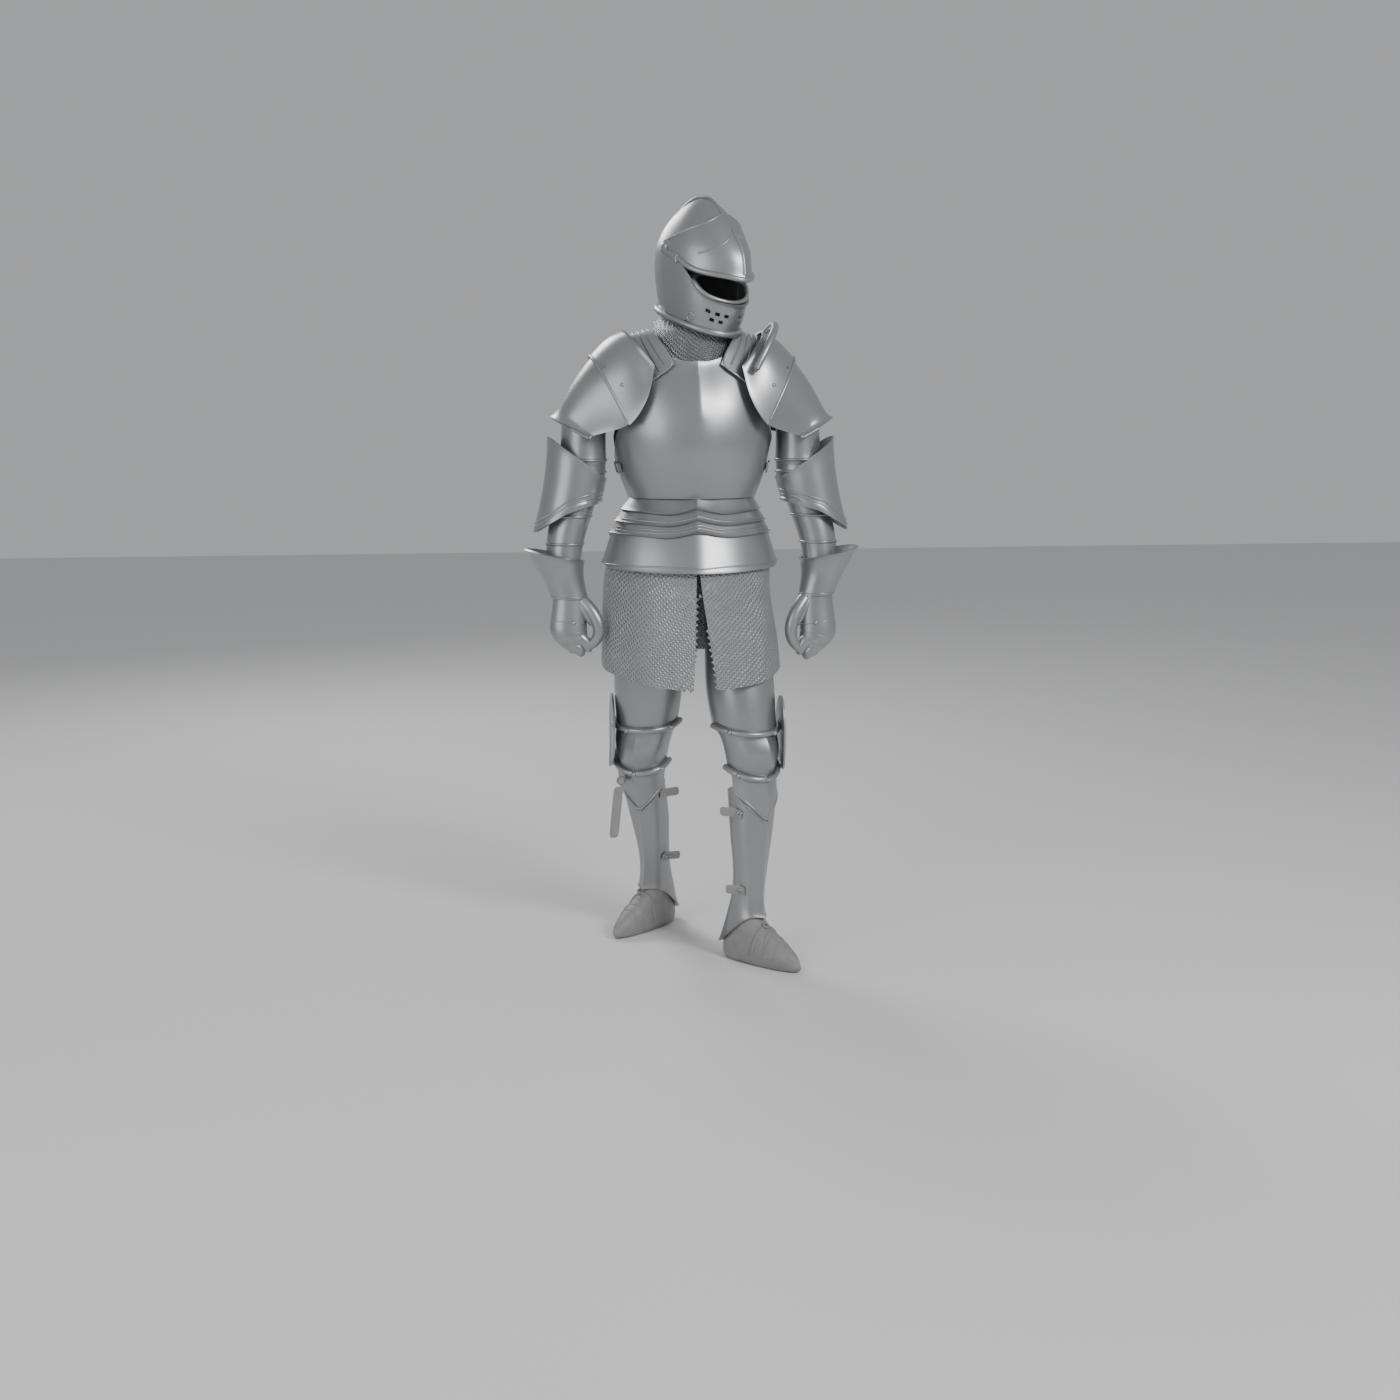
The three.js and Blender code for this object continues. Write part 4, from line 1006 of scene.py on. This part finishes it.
def dressLeg(side, place):
    sign, turn, body = place["sign"], place["turn"], "lower_leg_" + side

    def onRidge(point):
        _, x, y, way = legAxis(place, (point.z + floorDrop) * 1000)
        angle = math.degrees(math.atan2(point.x - x / 1000, y / 1000 - point.y)) - way
        return abs((angle + 180) % 360 - 180) < legRidge["width"]

    def ridgePush(point):
        way = legAxis(place, (point.z + floorDrop) * 1000)[3]
        return heading(way) * legRidge["push"] if onRidge(point) else (0, 0, 0)

    smoothPlate("cuisse_" + side)
    upper = addKneeBand("upper", side, place, place["thigh"], "suit")
    smoothPlate("poleyn_" + side, crisp=9, shift=ridgePush, ridge=onRidge)
    smoothPlate("poleyn_wing_" + side)
    lower = addKneeBand("lower", side, place, place["shin"], body)
    smoothPlate("demigreave_" + side, sharp=30, crisp=9, shift=ridgePush, ridge=onRidge)
    greave = smoothPlate("greave_" + side, crisp=9, shift=ridgePush, ridge=onRidge)
    addKneeRivets("upper", side, place, *upper)
    addKneeRivets("lower", side, place, *lower)
    addGreaveVee(side, place, greave, body)
    for label, (height, centre) in zip(("upper", "lower"), place["straps"]):
        middle = high(height - greaveStrap["down"])
        strap = smoothPlate(f"greave_strap_{label}_{side}", "grey_leather", sharp=179,
                            shift=lambda p: (0, 0, (p.z - middle) * greaveStrap["widen"]))
        spots = [(strap, centre, turn + sign * a, middle) for a in greaveStrap["turns"]]
        rivets(f"greave_strap_rivets_{label}_{side}", spots, greaveStrap["rivet"], body, rise=0.9)
    dressShoe(side, place, body)


def dressShoe(side, place, body):
    ahead, across = heading(place["footTurn"]), heading(place["footTurn"] + 90)
    foot = Vector((*place["foot"], 0))

    def fuller(point):  # the toe's leather swells out over the toes
        along = (point - foot).dot(ahead)
        height = (point.z + floorDrop) * 1000
        if along < shoeFuller["from"] or height < shoeFuller["sole"]:
            return (0, 0, 0)
        arch = math.sin(math.pi * clamped((height - shoeFuller["low"]) / shoeFuller["depth"]))
        return ahead * (shoeFuller["swell"] * arch * min(along / shoeFuller["reach"], 1))

    shoe = smoothPlate("shoe_" + side, "grey_leather", sharp=50, shift=fuller)

    def instep(forward, lean):  # points over the foot from side to side
        points = []
        for step in range(13):
            roll = math.radians(-82 + 164 * step / 12)
            way = across * math.sin(roll) + upward * math.cos(roll)
            start = foot + ahead * (forward + lean * math.sin(roll) * place["sign"]) + upward * high(22)
            spot, _ = strike(shoe, start + way * 0.2, -way)
            if spot:
                points.append(spot)
        return points

    for name, (forward, lean, radius) in shoeCreases.items():
        threadBead(name.format(side), instep(forward, lean), False, radius, body, "grey_leather")
    lace = instep(*shoeCreases["shoe_strap_{}"][:2])
    knot = lace[len(lace) // 2] + upward * shoeKnot["lift"]
    turn = (math.radians(shoeKnot["turn"][0]), math.radians(shoeKnot["turn"][1]), 0)
    wireRing("shoe_knot_" + side, knot, turn, shoeKnot["size"], body, "grey_leather")


def strapWidening(point):
    middle = -hangingStrap["middle"] - hangingStrap["lean"] * (high(hangingStrap["top"]) - point.z)
    return ((point.x - middle) * hangingStrap["widen"], 0, 0)


for legSide, legPlace in legPlaces.items():
    dressLeg(legSide, legPlace)
smoothPlate("hanging_strap_right", "grey_leather", sharp=179, shift=strapWidening)
smoothPlate("strap_ball_right", "grey_leather", sharp=179)
print("stage: legs")


# Floor and light

studioFloor = {"size": 24, "tone": 0.72, "rough": 0.9}
studioWorld = {"colour": (0.8, 0.81, 0.83), "strength": 0.5}
studioLamps = {
    "key": {"spot": (2.4, -3.4, 2.2), "size": 1.1, "power": 124},
    "fill": {"spot": (-3.2, -3.0, 1.0), "size": 2.6, "power": 55},
    "back": {"spot": (-1.5, 3.4, 2.4), "size": 1.6, "power": 90},
}
lampTarget = Vector((0, 0, -0.1))


def addStudio():
    deselect()
    bpy.ops.mesh.primitive_plane_add(size=studioFloor["size"], location=(0, 0, -floorDrop))
    floor = bpy.context.object
    floor.name = "studio_floor"
    material, _, _, shader = newMaterial("paleFloor")
    shader.inputs["Base Color"].default_value = (*[studioFloor["tone"]] * 3, 1)
    shader.inputs["Roughness"].default_value = studioFloor["rough"]
    floor.data.materials.append(material)
    for name, lamp in studioLamps.items():
        bpy.ops.object.light_add(type="AREA", location=lamp["spot"])
        light = bpy.context.object
        light.name = name
        light.data.size = lamp["size"]
        light.data.energy = lamp["power"]
        light.rotation_euler = (lampTarget - Vector(lamp["spot"])).to_track_quat("-Z", "Y").to_euler()
    world = bpy.data.worlds.new("studio")
    world.use_nodes = True
    world.node_tree.nodes["Background"].inputs["Color"].default_value = (*studioWorld["colour"], 1)
    world.node_tree.nodes["Background"].inputs["Strength"].default_value = studioWorld["strength"]
    bpy.context.scene.world = world


addStudio()
print("stage: studio")
